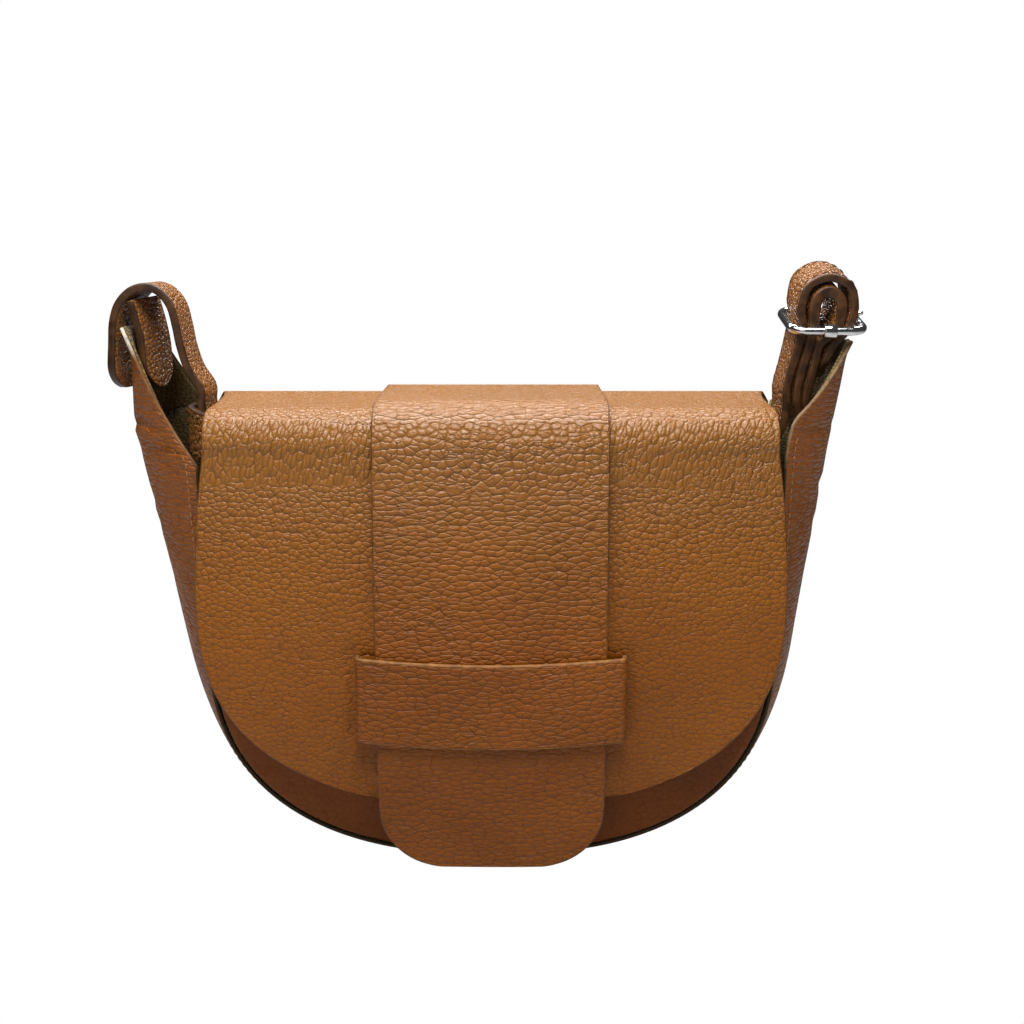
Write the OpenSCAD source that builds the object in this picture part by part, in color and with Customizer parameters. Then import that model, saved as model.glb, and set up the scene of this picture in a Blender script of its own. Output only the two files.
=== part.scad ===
// Crossbody saddle bag in pebbled leather: a deep round body, a flap with a band through a keeper
// loop, winged side gussets, and a long strap whose slack is wound inside the mouth.
// Origin at the middle of the flat bottom, front towards -Y, +Z up.

/* [Body] */
// Height of the hinge line where the back panel turns into the flap
hinge_h = 182.5; // [160:0.5:210]
// Height of the front panel at its top corners
front_h = 165; // [140:1:172]
// Width between the side seams
seam_w = 223; // [190:1:260]
// Depth between the front seam and the back seam
body_depth = 60; // [52:1:80]
// How far the middle of the gusset stands out past the seams at mid height
side_spread = 7.5; // [4:0.5:18]
// Height of the seams above the floor
seam_lift = 3; // [1.5:0.5:6]
// How far the round bottom would hang below the floor before it is pressed flat
bottom_dip = 2; // [1:0.5:4]
// Crown of the front panel
front_belly = 10; // [4:0.5:11]
// Crown of the back panel
back_belly = 5; // [1:0.5:10]

/* [Leather] */
// Thickness of the body leather
leather_t = 1.5; // [1:0.1:1.8]
// Thickness of the lining
lining_t = 0.8; // [0.4:0.1:1.2]
// Film of glue between leather and lining
glue_gap = 0.2; // [0.1:0.05:0.3]
// Free gap between soft neighbours
soft_gap = 0.3; // [0.2:0.05:0.5]

/* [Wings] */
// Distance of the left wing tip from the middle, at its front corner
left_tip_x = 143.5; // [136:0.5:150]
// Height of the left wing tip
left_tip_z = 215; // [205:1:225]
// Distance of the right wing tip from the middle, at its front corner
right_tip_x = 140; // [136:0.5:146]
// Height of the right wing tip
right_tip_z = 210; // [203:1:212]
// Width of a wing tip from front to back
tip_w = 20; // [14:1:24]
// How far the back corner of a tip leans in past its front corner
tip_turn = 8; // [4:0.5:12]
// Sag of a wing's cut edges
wing_sag = 4; // [0:0.5:8]
// How far the front edge of the right wing stands up above its line to the panel's corner
right_rise = 16; // [0:0.5:18]

/* [Flap] */
// Width of the flap at its widest
flap_w = 225.5; // [190:0.5:228]
// Width of the flap across the front roll
flap_roll_w = 216; // [180:1:217]
// Width of the flap along the hinge
flap_hinge_w = 232; // [200:1:233]
// Height of the flap's lowest edge
flap_low = 31; // [20:1:60]
// Radius of the turn from the back panel to the top
back_turn_r = 4.5; // [3:0.5:8]
// Radius of the roll from the top to the front
roll_r = 16; // [10:0.5:20]
// Distance of the flap's front face from the middle, just below the roll
flap_front = 40; // [36:0.5:50]
// Crown of the flap down its front
flap_belly = 6; // [4:0.5:9]
// How far the flap's side edges lie back past its middle
flap_recess = 6; // [2:0.5:8]

/* [Band] */
// Width of the band over the flap
band_w = 88; // [60:1:96]
// Thickness of the band's leather
band_t = 1.5; // [1:0.1:2]
// Height of the tongue's end
tongue_low = 6; // [4:0.5:20]
// Radius of the tongue's corners
tongue_r = 25; // [12:1:40]

/* [Keeper] */
// Width of the keeper loop
keeper_w = 103; // [98:0.5:116]
// Height of the keeper loop
keeper_h = 34; // [20:1:44]
// Height of the keeper's lower edge
keeper_low = 61; // [45:1:90]
// Thickness of the keeper
keeper_t = 1.8; // [1.2:0.1:2.4]
// Sag of the keeper's edges at the middle
keeper_sag = 2.5; // [0:0.5:5]

/* [Strap] */
// Width of the strap and the tabs
strap_w = 20; // [16:0.5:21]
// Thickness of the strap and the tabs
strap_t = 3.2; // [2.4:0.1:3.4]

/* [Buckle] */
// Length of the buckle frame across the strap's layers
buckle_w = 31; // [30:0.5:38]
// Depth of the buckle frame along the strap's width
buckle_d = 30; // [28:0.5:34]
// Radius of the frame's wire
wire_r = 1.7; // [1.2:0.1:2]
// Corner radius of the frame along its wire's axis
buckle_corner_r = 5.5; // [3:0.5:7]
// Radius of the centre bar
bar_r = 1.3; // [1:0.1:1.5]
// Radius of the prong
prong_r = 1; // [0.7:0.1:1.2]
// Lean of the frame, its back edge raised
buckle_lean = 14; // [8:1:18]

/* [Snap] */
// Radius of the snap's discs
snap_r = 8; // [6:0.5:10]
// Thickness of each snap half
snap_t = 1.6; // [1:0.1:1.7]
// Height of the snap's centre
snap_z = 72; // [60:1:90]

/* [Rivets] */
// Radius of a rivet's cap
cap_r = 4; // [2.5:0.25:5]
// Height of a rivet's cap
cap_h = 1; // [0.6:0.1:1.5]
// Radius of a rivet's shank
shank_r = 1.5; // [1:0.1:2]

/* [Pocket] */
// Width of the inner pocket
pocket_w = 120; // [60:1:150]
// Height of the pocket's lower edge
pocket_low = 66; // [50:1:80]
// Height of the pocket's upper edge
pocket_high = 138; // [110:1:145]

/* [Hidden] */

// Colours
tan_leather = [0.56, 0.33, 0.14];
body_leather = [0.42, 0.24, 0.11];
olive_lining = [0.33, 0.28, 0.17];
edge_brown = [0.30, 0.17, 0.09];
silver = [0.78, 0.78, 0.79];

// Derived places
seam_half = seam_w / 2;
seam_y = body_depth / 2;
mid_half = seam_half + side_spread;
flap_half = flap_w / 2;
lining_out = leather_t + glue_gap;
lining_in = lining_out + lining_t;
seam_inset = leather_t + soft_gap;

// Outline of the seams and of the gusset's middle, as shares of the front panel's height
seam_centre_share = 0.547;
mid_centre_share = 0.558;
mid_top_share = 1.065;
lean_start_share = 0.36;
lean_soft_share = 0.15;
seam_power = 2.42;
mid_power = 2.37;
left_lean = 0.206;
right_lean = 0.143;
back_lean = 0.07;
side_part_share = 0.3;
seam_centre = seam_centre_share * front_h;
mid_centre = mid_centre_share * front_h;

// Outline of the flap, as shares of its drop below the hinge
flap_centre_share = 0.465;
flap_power = 2.5;
flap_centre = hinge_h - flap_centre_share * (hinge_h - flap_low);
last_angle = 84;

// Counts of the surfaces' facets
side_steps = 4;
arc_steps = 9;
wing_steps = 6;
gusset_cols = 6;
gusset_edge_share = (lining_in + 2 * soft_gap) / body_depth;
panel_cols = 14;
flap_cols = 12;

function mix(a, b, t) = a + (b - a) * t;
function clamp01(t) = min(1, max(0, t));
function unit(v) = v / norm(v);

// A height rule that starts level and leans out above a given height
function soft_rise(z, start, soft) = (sqrt(pow(z - start, 2) + soft * soft) + z - start) / 2;

// Point of a half outline: down the side, then round to the bottom, at t from 0 to 1
function outline(t, half, centre, low, top, power, end_angle = 90) =
    t < side_part_share
    ? [half, mix(top, centre, t / side_part_share)]
    : let (a = end_angle * (t - side_part_share) / (1 - side_part_share))
      [half * pow(cos(a), 2 / power), centre - (centre - low) * pow(sin(a), 2 / power)];

function leaned(p, lean) =
    [p[0] + lean * soft_rise(p[1], lean_start_share * front_h, lean_soft_share * front_h), p[1]];

// The two seams and the middle of the gusset at t, on the side that s names, -1 left or 1 right
function seam_front(t, s) =
    let (p = outline(t, seam_half, seam_centre, seam_lift, front_h, seam_power))
    [s * p[0], -seam_y, p[1]];
function seam_back(t, s) =
    let (q = outline(t, seam_half, seam_centre, seam_lift, hinge_h, seam_power))
    [s * (q[0] + back_lean * max(0, q[1] - seam_centre)), seam_y, q[1]];
function gusset_mid(t, s) =
    let (q = outline(t, mid_half, mid_centre, -bottom_dip, mid_top_share * front_h, mid_power),
         p = leaned(q, s < 0 ? left_lean : right_lean))
    [s * p[0], 0, p[1]];

// Wing tips
function tip_front(s) =
    s < 0 ? [-left_tip_x, -tip_w / 2, left_tip_z] : [right_tip_x, -tip_w / 2, right_tip_z];
function tip_back(s) = tip_front(s) - [s * (s < 0 ? 1 : right_turn_share) * tip_turn, -tip_w, 0];
right_turn_share = 0.4;
function tip_mid(s) = (tip_front(s) + tip_back(s)) / 2 + [s * tip_crown, 0, 0];
tip_crown = 1.2;
wing_crown = 0.5;
rise_soft_share = 0.05;
wing_step_power = 1.4;

// Row of the gusset, from the tip (q 1) to the panels' top corners (q 0), then along the outline
function wing_edge(a, b, q) = mix(a, b, q) - [0, 0, wing_sag * 4 * q * (1 - q)];
function front_rise(q, s) = s < 0 ? 0 : right_rise * (1 - q) * (1 - exp(-q / rise_soft_share));
function wing_mid(a, b, q, s) = mix(a, b, q) + [s * wing_crown * 4 * q * (1 - q), 0, 0];
function half_rows(s) = concat(
    [for (i = [wing_steps : -1 : 1])
        let (q = pow(i / wing_steps, wing_step_power))
        [wing_edge(seam_front(0, s), tip_front(s), q) + [0, 0, front_rise(q, s)],
         wing_mid(gusset_mid(0, s), tip_mid(s), q, s),
         wing_edge(seam_back(0, s), tip_back(s), q)]],
    [for (t = outline_ts) [seam_front(t, s), gusset_mid(t, s), seam_back(t, s)]]);
outline_ts = concat(
    [for (i = [0 : side_steps - 1]) side_part_share * i / side_steps],
    [for (i = [0 : arc_steps]) side_part_share + (1 - side_part_share) * i / arc_steps]);
function reversed(v) = [for (i = [len(v) - 1 : -1 : 0]) v[i]];
function but_last(v) = [for (i = [0 : len(v) - 2]) v[i]];
gusset_rows = concat(but_last(half_rows(-1)), reversed(half_rows(1)));

// Curve through the front, middle and back of a row, from back (v 0) to front (v 1)
function on_floor(p) = [p[0], p[1], max(0, p[2])];
function across(row, v) =
    let (f = row[0], m = row[1], b = row[2], c = 2 * m - (f + b) / 2)
    on_floor((1 - v) * (1 - v) * b + 2 * v * (1 - v) * c + v * v * f);
gusset_vs = concat(
    [0],
    [for (j = [0 : gusset_cols]) mix(gusset_edge_share, 1 - gusset_edge_share, j / gusset_cols)],
    [1]);
gusset_grid = [for (row = gusset_rows) [for (v = gusset_vs) across(row, v)]];

// Front and back panels: rows of points from one side to the other
front_crown_share = 0.85;
back_top_in = 3;
function front_y(u, k) = -seam_y - front_belly * (1 - u * u) * sin(180 * front_crown_share * k);
function back_y(u, k) =
    seam_y + back_belly * (1 - u * u) * sin(180 * min(1, k)) - back_top_in * k * k * k;
function front_grid() =
    [for (t = outline_ts)
        let (o = outline(t, seam_half - seam_inset, seam_centre, seam_lift + seam_inset, front_h,
                         seam_power, last_angle),
             k = (o[1] - seam_lift) / (front_h - seam_lift))
        [for (j = [0 : panel_cols]) let (u = 2 * j / panel_cols - 1) [u * o[0], front_y(u, k), o[1]]]];
// The flap turns about the outer face of the leather, clear of the back panel's top edge
back_top = hinge_h - 1.5 * soft_gap;
function back_grid(inset) =
    [for (t = reversed(outline_ts))
        let (q = outline(t, seam_half - seam_inset, seam_centre, seam_lift + seam_inset, back_top - inset,
                         seam_power, last_angle),
             half = q[0] + back_lean * max(0, q[1] - seam_centre),
             k = (q[1] - seam_lift) / (hinge_h - seam_lift))
        [for (j = [0 : panel_cols]) let (u = 2 * j / panel_cols - 1) [u * half, back_y(u, k), q[1]]]];

// Outer face of the flap. Side view: back turn, top, front roll, then down the front
hinge_y = seam_y - back_top_in;
top_z = hinge_h + back_turn_r;
roll_y = -flap_front + roll_r;
roll_z = top_z - roll_r;
turn_steps = 3;
top_steps = 4;
roll_steps = 6;
drop_steps = 4;
round_steps = 9;
tongue_steps = 7;
belly_run_share = 1.06;
function front_face_y(z) =
    -flap_front - flap_belly * sin(180 * clamp01((roll_z - z) / (belly_run_share * roll_z)));

// Each row of the flap: [y, z, normal y, normal z, half width, recess of the side edges]
function top_half_w(y) =
    let (k = clamp01((hinge_y - y) / (hinge_y - roll_y)))
    mix(flap_hinge_w, flap_roll_w, sqrt(k * (2 - k))) / 2;
function front_half_w(z) =
    z > flap_centre
    ? mix(flap_half, flap_roll_w / 2, pow((z - flap_centre) / (roll_z - flap_centre), 2))
    : flap_half * pow(max(0, 1 - pow((flap_centre - z) / (flap_centre - flap_low), flap_power)),
                      1 / flap_power);
recess_top_share = 0.2;
function front_row(z) =
    let (dz = roll_r / 100, n = unit([-2 * dz, front_face_y(z + dz) - front_face_y(z - dz)]),
         k = clamp01((roll_z - z) / roll_r))
    [front_face_y(z), z, n[0], n[1], front_half_w(z), flap_recess];
flap_top_rows = concat(
    [for (i = [0 : turn_steps])
        let (a = 90 * i / turn_steps, y = hinge_y - back_turn_r * (1 - cos(a)))
        [y, hinge_h + back_turn_r * sin(a), cos(a), sin(a), top_half_w(y), 0]],
    [for (i = [1 : top_steps])
        let (y = mix(hinge_y - back_turn_r, roll_y, i / top_steps))
        [y, top_z, 0, 1, top_half_w(y), recess_top_share * flap_recess * i / top_steps]],
    [for (i = [1 : roll_steps])
        let (a = 90 * i / roll_steps)
        [roll_y - roll_r * sin(a), roll_z + roll_r * cos(a), -sin(a), cos(a), flap_roll_w / 2,
         flap_recess * mix(recess_top_share, 1, i / roll_steps)]]);
drop_zs = [for (i = [1 : drop_steps]) mix(roll_z, flap_centre, i / drop_steps)];
round_zs =
    [for (i = [1 : round_steps])
        flap_centre - (flap_centre - flap_low) * pow(sin(last_angle * i / round_steps), 2 / flap_power)];
tongue_zs = [for (i = [1 : tongue_steps]) mix(flap_low, tongue_low, sin(90 * i / tongue_steps))];
flap_rows = concat(flap_top_rows, [for (z = concat(drop_zs, round_zs)) front_row(z)]);
band_rows = concat(
    [for (i = [turn_steps : len(flap_top_rows) - 1]) flap_top_rows[i]],
    [for (z = concat(drop_zs, round_zs, tongue_zs)) front_row(z)]);

// Point at x on a row, lifted off the flap's face
function face_point(row, x, lift) =
    let (d = lift - row[5] * pow(x / flap_half, 2))
    [x, row[0] + row[2] * d, row[1] + row[3] * d];
function flap_grid(margin) =
    [for (row = flap_rows)
        [for (j = [0 : flap_cols]) face_point(row, (row[4] - margin) * (2 * j / flap_cols - 1), 0)]];
function band_half(z) =
    z > tongue_low + tongue_r
    ? band_w / 2
    : band_w / 2 - tongue_r
      + sqrt(max(0, tongue_r * tongue_r - pow(tongue_low + tongue_r - z, 2)));
band_cols = 4;
function band_grid(lift) =
    [for (row = band_rows)
        [for (j = [0 : band_cols])
            face_point(row, (row[3] > 0.5 ? band_w / 2 : band_half(row[1])) * (2 * j / band_cols - 1), lift)]];
band_lining_lift = soft_gap;
band_lift = band_lining_lift + lining_t + glue_gap;
keeper_lift = band_lift + band_t + soft_gap;

// Keeper: its face runs over the band and its ends turn back to the flap
keeper_corner_r = 2.4;
keeper_corner_steps = 3;
keeper_mid_shares = [0.6, 0.3];
keeper_path = concat(
    [[keeper_w / 2, soft_gap]],
    [for (i = [0 : keeper_corner_steps])
        let (a = 90 * i / keeper_corner_steps)
        [keeper_w / 2 - keeper_corner_r * (1 - cos(a)),
         keeper_lift + keeper_t - keeper_corner_r * (1 - sin(a))]],
    [for (k = keeper_mid_shares) [k * (keeper_w / 2 - keeper_corner_r), keeper_lift + keeper_t]]);
keeper_sides = concat(
    [for (p = keeper_path) [-p[0], p[1]]],
    [[0, keeper_lift + keeper_t]],
    reversed(keeper_path));
keeper_steps = 5;
function keeper_grid() =
    [for (i = [0 : keeper_steps])
        [for (p = keeper_sides)
            let (z = mix(keeper_low + keeper_h, keeper_low, i / keeper_steps)
                     - keeper_sag * (1 - pow(2 * p[0] / keeper_w, 2)))
            face_point(front_row(z), p[0], p[1])]];

// A sheet of leather: a grid of points on its face, given thickness along the grid's own normals
function grid_normal(g, i, j) =
    let (n = len(g) - 1, m = len(g[0]) - 1,
         di = g[min(n, i + 1)][j] - g[max(0, i - 1)][j],
         dj = g[i][min(m, j + 1)] - g[i][max(0, j - 1)])
    unit(cross(di, dj));
module sheet(g, out, in, trim = 0) {
    n = len(g) - 1;
    m = len(g[0]) - 1 - 2 * trim;
    w = m + 1;
    total = (n + 1) * w;
    cols = [trim : trim + m];
    outer = [for (i = [0 : n]) for (j = cols) g[i][j] + grid_normal(g, i, j) * out];
    inner = [for (i = [0 : n]) for (j = cols) g[i][j] + grid_normal(g, i, j) * in];
    faces = concat(
        [for (i = [0 : n - 1]) for (j = [0 : m - 1]) [i * w + j, i * w + j + 1, (i + 1) * w + j + 1]],
        [for (i = [0 : n - 1]) for (j = [0 : m - 1]) [i * w + j, (i + 1) * w + j + 1, (i + 1) * w + j]],
        [for (i = [0 : n - 1]) for (j = [0 : m - 1])
            total * [1, 1, 1] + [i * w + j, (i + 1) * w + j + 1, i * w + j + 1]],
        [for (i = [0 : n - 1]) for (j = [0 : m - 1])
            total * [1, 1, 1] + [i * w + j, (i + 1) * w + j, (i + 1) * w + j + 1]],
        [for (j = [0 : m - 1]) each rim(j + 1, j, total)],
        [for (j = [0 : m - 1]) each rim(n * w + j, n * w + j + 1, total)],
        [for (i = [0 : n - 1]) each rim(i * w, (i + 1) * w, total)],
        [for (i = [0 : n - 1]) each rim((i + 1) * w + m, i * w + m, total)]);
    polyhedron(concat(outer, inner), faces);
}
function rim(a, b, total) = [[a, b, b + total], [a, b + total, a + total]];

// A strap: hand-chosen places and width directions, smoothed, then a chamfered section along them
chamfer_share = 0.25;
function smooth(a, b, c, d, t) =
    0.5 * ((2 * b) + (c - a) * t + (2 * a - 5 * b + 4 * c - d) * t * t
           + (3 * b - a - 3 * c + d) * t * t * t);
function along(v, i, t) =
    smooth(v[max(0, i - 1)], v[i], v[i + 1], v[min(len(v) - 1, i + 2)], t);
end_cuts = 4;
function cuts(i, n, mids) = (i == 0 || i == n - 1) ? end_cuts : mids;
function path_samples(v, mids) = concat(
    [for (i = [0 : len(v) - 2]) for (k = [0 : cuts(i, len(v) - 1, mids) - 1])
        along(v, i, k / cuts(i, len(v) - 1, mids))],
    [v[len(v) - 1]]);
end_least_share = 0.3;
function end_half(d) =
    d >= strap_w / 2 ? 1 : max(end_least_share, sqrt(1 - pow(1 - 2 * d / strap_w, 2)));
module strap_along(places, widths, mids, round_first, round_last) {
    p = path_samples(places, mids);
    w = path_samples(widths, mids);
    n = len(p) - 1;
    h = strap_w / 2;
    t = strap_t / 2;
    c = chamfer_share * strap_t;
    section = [[h, t - c], [h - c, t], [c - h, t], [-h, t - c], [-h, c - t], [c - h, -t], [h - c, -t],
        [h, c - t]];
    k = len(section);
    points = [for (i = [0 : n])
        let (tangent = unit(p[min(n, i + 1)] - p[max(0, i - 1)]),
             side = unit(w[i] - (w[i] * tangent) * tangent),
             up = cross(tangent, side),
             s = min(round_first ? end_half(norm(p[i] - p[0])) : 1,
                     round_last ? end_half(norm(p[n] - p[i])) : 1))
        for (q = section) p[i] + side * (q[0] * s) + up * q[1]];
    faces = concat(
        [[for (j = [0 : k - 1]) j]],
        [[for (j = [k - 1 : -1 : 0]) n * k + j]],
        [for (i = [0 : n - 1]) for (j = [0 : k - 1])
            [i * k + (j + 1) % k, i * k + j, (i + 1) * k + j]],
        [for (i = [0 : n - 1]) for (j = [0 : k - 1])
            [i * k + (j + 1) % k, (i + 1) * k + j, (i + 1) * k + (j + 1) % k]]);
    polyhedron(points, faces);
}

// The strap's route. The loops are placed in strap widths from the left tip and from the buckle,
// the slack inside the mouth in shares of the seam's half width, half depth and hinge height
left_anchor = tip_mid(-1);
buckle_from_tip_shares = [-0.5, 0, 0.375];
buckle_at = tip_mid(1) + strap_w * buckle_from_tip_shares;
left_loop_shares = [[-0.255, 0, -1.175], [-0.245, 0, -0.75], [-0.2, 0, -0.3], [-0.155, 0, 0.1],
    [-0.06, 0, 0.45], [0.15, 0, 0.7], [0.41, 0, 0.79], [0.67, 0, 0.69], [0.86, 0, 0.425],
    [0.945, 0, 0.05], [1.005, 0, -0.35], [1.135, 0, -0.8], [1.35, 0, -1.175]];
slack_shares = [[-1.02, 0, 1.014], [-1.005, 0, 0.975], [-0.955, 0, 0.934], [-0.86, 0.02, 0.912],
    [-0.715, 0.07, 0.905], [-0.57, 0.18, 0.902], [-0.43, 0.3, 0.902], [-0.27, 0.43, 0.902],
    [0, 0.53, 0.902], [0.34, 0.55, 0.902], [0.5, 0.5, 0.902], [0.615, 0.32, 0.902],
    [0.66, -0.07, 0.902], [0.615, -0.46, 0.902], [0.5, -0.65, 0.902], [0.18, -0.7, 0.902],
    [-0.36, -0.7, 0.907], [-0.76, -0.7, 0.92], [-0.92, -0.61, 0.937], [-1.027, -0.38, 0.95],
    [-1.076, -0.02, 0.956], [-1.045, 0.37, 0.95], [-0.946, 0.63, 0.937], [-0.76, 0.727, 0.92],
    [-0.27, 0.735, 0.904], [0.18, 0.74, 0.902], [0.48, 0.727, 0.9], [0.625, 0.65, 0.896],
    [0.76, 0.48, 0.893], [0.88, 0.25, 0.896], [0.97, 0.065, 0.92], [1.02, 0, 0.962],
    [1.035, 0, 1.008]];
right_loop_shares = [[-0.72, 0, -1.275], [-0.62, 0, -0.825], [-0.535, 0, -0.425],
    [-0.475, 0, -0.025], [-0.51, 0, 0.375], [-0.39, 0, 0.775], [0, 0, 0.955], [0.39, 0, 0.775],
    [0.5, 0, 0.375], [0.405, 0, 0], [0.15, 0, -0.35], [0, 0, -0.725], [-0.06, 0, -1.1]];
strap_places = concat(
    [for (s = left_loop_shares) left_anchor + strap_w * s],
    [for (s = slack_shares) [s[0] * seam_half, s[1] * seam_y, s[2] * hinge_h]],
    [for (s = right_loop_shares) buckle_at + strap_w * s]);

// Directions across the strap: front to back in the loops, upright in the slack
tip_across = [0.26, 0.966, 0];
flat_across = [0, 1, 0];
upright = [0, 0, 1];
lean_across = [0, cos(buckle_lean), sin(buckle_lean)];
strap_widths = concat(
    [for (i = [0 : 3]) tip_across],
    [for (i = [1 : 3]) mix(tip_across, flat_across, i / 3)],
    [for (i = [0 : 9]) flat_across],
    [for (i = [1 : 3]) mix(flat_across, upright, i / 4)],
    [for (i = [0 : 19]) upright],
    [for (i = [1 : 3]) mix(upright, flat_across, i / 4)],
    [for (i = [0 : 4]) flat_across],
    [mix(flat_across, lean_across, 0.5)],
    [for (i = [0 : 7]) lean_across],
    [mix(lean_across, flat_across, 0.5)],
    [flat_across]);

// Short tabs, in strap widths from the left tip and from the buckle
left_tab_shares = [[0.2, 0, 0.56], [0.305, 0, 0.1], [0.365, 0, -0.3], [0.385, 0, -0.75],
    [0.43, 0, -1.175]];
buckle_tab_shares = [[-0.305, 0, -2.375], [-0.44, 0, -1.875], [-0.515, 0, -1.475],
    [-0.475, 0, -1.1], [-0.415, 0, -0.725], [-0.335, 0, -0.35], [-0.285, 0, 0],
    [-0.285, 0, 0.375], [-0.2, 0, 0.6], [0, 0, 0.715], [0.2, 0, 0.6], [0.275, 0, 0.375],
    [0.195, 0, 0], [-0.115, 0, -0.35], [-0.19, 0, -0.725], [-0.255, 0, -1.1], [-0.33, 0, -1.5],
    [-0.26, 0, -1.875], [-0.12, 0, -2.375]];
buckle_tab_widths = concat(
    [for (i = [0 : 3]) flat_across],
    [mix(flat_across, lean_across, 0.5)],
    [for (i = [0 : 8]) lean_across],
    [mix(lean_across, flat_across, 0.5)],
    [for (i = [0 : 3]) flat_across]);

// Buckle, in its own leaning frame with the centre bar along Y
rail_y = buckle_d / 2 - wire_r;
end_x = buckle_w / 2 - wire_r;
collar_t = 1.2;
collar_w = 5;
collar_fit = 0.05;
knuckle_t = 1;
knuckle_w = 3;
bar_fit = 0.08;
prong_rest_gap = 0.1;
prong_over = 1.5;
prong_lift = asin((wire_r + prong_r + prong_rest_gap) / end_x);
slot_play = 0.6;
slot_below = 6;
slot_above = 10;
slot_reach_share = 0.92;
round_fn = 40;
module in_buckle() {
    translate(buckle_at)
        rotate([buckle_lean, 0, 0])
            children();
}
module prong_way() {
    reach = slot_reach_share * end_x;
    play = prong_r + slot_play;
    low = prong_lift - slot_below;
    high = prong_lift + slot_above;
    in_buckle()
        rotate([90, 0, 0]) {
            linear_extrude(height = 2 * play, center = true)
                polygon([[0, -play], reach * [cos(low), sin(low)] - [0, play],
                         reach * [cos(high), sin(high)] + [0, play], [0, play]]);
            cylinder(h = knuckle_w + 2 * slot_play, r = bar_r + knuckle_t + slot_play, center = true,
                     $fn = round_fn);
        }
}

module back_panel() {
    color(body_leather)
        sheet(back_grid(0), 0, -leather_t);
}
module front_panel() {
    color(body_leather)
        sheet(front_grid(), 0, -leather_t);
}
module gusset() {
    color(body_leather)
        sheet(gusset_grid, 0, -leather_t);
}
module back_lining() {
    color(olive_lining)
        sheet(back_grid(leather_t), -lining_out, -lining_in);
}
module front_lining() {
    color(olive_lining)
        sheet(front_grid(), -lining_out, -lining_in);
}
module gusset_lining() {
    color(olive_lining)
        sheet(gusset_grid, -lining_out, -lining_in, 1);
}
pocket_rows = 6;
pocket_cols = 8;
module inner_pocket() {
    half = seam_half - seam_inset;
    face = [for (i = [0 : pocket_rows])
        [for (j = [0 : pocket_cols])
            let (z = mix(pocket_low, pocket_high, i / pocket_rows),
                 x = pocket_w * (j / pocket_cols - 0.5))
            [x, back_y(x / half, (z - seam_lift) / (hinge_h - seam_lift)), z]]];
    color(olive_lining)
        sheet(face, -lining_in - soft_gap, -lining_in - soft_gap - lining_t);
}

// The snap's halves face each other behind the flap, with a disc inside that backs the socket
function front_face_at(z) = front_y(0, (z - seam_lift) / (front_h - seam_lift));
module disc(y, r, t) {
    translate([0, y, snap_z])
        rotate([90, 0, 0])
            cylinder(h = t, r = r, $fn = round_fn);
}
module snap_socket() {
    hole_share = 0.4;
    start = front_face_at(snap_z + snap_r) - glue_gap / 2;
    color(silver)
        difference() {
            disc(start, snap_r, snap_t);
            disc(start - snap_t / 2, hole_share * snap_r, snap_t);
        }
}
module snap_washer() {
    color(silver)
        disc(front_face_at(snap_z - snap_r) + lining_in + glue_gap + lining_t, snap_r, lining_t);
}
module snap_stud() {
    color(silver)
        disc(front_face_y(snap_z) + lining_in + glue_gap + snap_t, snap_r, snap_t);
}

module shoulder_strap() {
    color(tan_leather)
        difference() {
            strap_along(strap_places, strap_widths, 2, true, true);
            prong_way();
        }
}
module left_anchor_tab() {
    color(tan_leather)
        strap_along([for (s = left_tab_shares) left_anchor + strap_w * s],
                    [for (s = left_tab_shares) tip_across], 2, false, true);
}
module buckle_tab() {
    color(tan_leather)
        difference() {
            strap_along([for (s = buckle_tab_shares) buckle_at + strap_w * s], buckle_tab_widths, 2,
                        true, true);
            prong_way();
        }
}

// A rivet along the local X, with a cap over its start and a blind end inside the leather
module rivet(length) {
    dome_share = 0.6;
    rotate([0, 90, 0]) {
        cylinder(h = length, r = shank_r, $fn = round_fn);
        translate([0, 0, -cap_h])
            cylinder(h = cap_h, r1 = dome_share * cap_r, r2 = cap_r, $fn = round_fn);
    }
}
left_rivet_shares = [[0.365, 0, -0.35], [0.385, 0, -0.8]];
left_rivet_reach_share = 0.62;
module left_rivets() {
    turn = atan2(tip_across[0], tip_across[1]);
    length = left_rivet_reach_share * strap_w + strap_t;
    color(silver)
        for (s = left_rivet_shares)
            translate(left_anchor + strap_w * s)
                rotate([0, 0, -turn])
                    translate([strap_t / 2 - length, 0, 0])
                        rivet(length - strap_t / 2);
}
right_rivet_shares = [-0.34, 0, -2.15];
function right_wing_x(z) =
    let (m = gusset_mid(0, 1), t = tip_mid(1), q = clamp01((z - m[2]) / (t[2] - m[2])))
    wing_mid(m, t, q, 1)[0];
module right_rivet() {
    at = buckle_at + strap_w * right_rivet_shares;
    color(silver)
        translate(at)
            rivet(right_wing_x(at[2]) - leather_t / 2 - at[0]);
}

module flap() {
    color(tan_leather)
        sheet(flap_grid(0), 0, -leather_t);
}
lining_start = 1;
module flap_lining() {
    g = flap_grid(soft_gap);
    color(olive_lining)
        sheet([for (i = [lining_start : len(g) - 1]) g[i]], -lining_out, -lining_in);
}
module band_lining() {
    color(edge_brown)
        sheet(band_grid(band_lining_lift + lining_t), 0, -lining_t);
}
module flap_band() {
    color(tan_leather)
        sheet(band_grid(band_lift + band_t), 0, -band_t);
}
module keeper_loop() {
    color(tan_leather)
        sheet(keeper_grid(), 0, -keeper_t);
}

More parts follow.
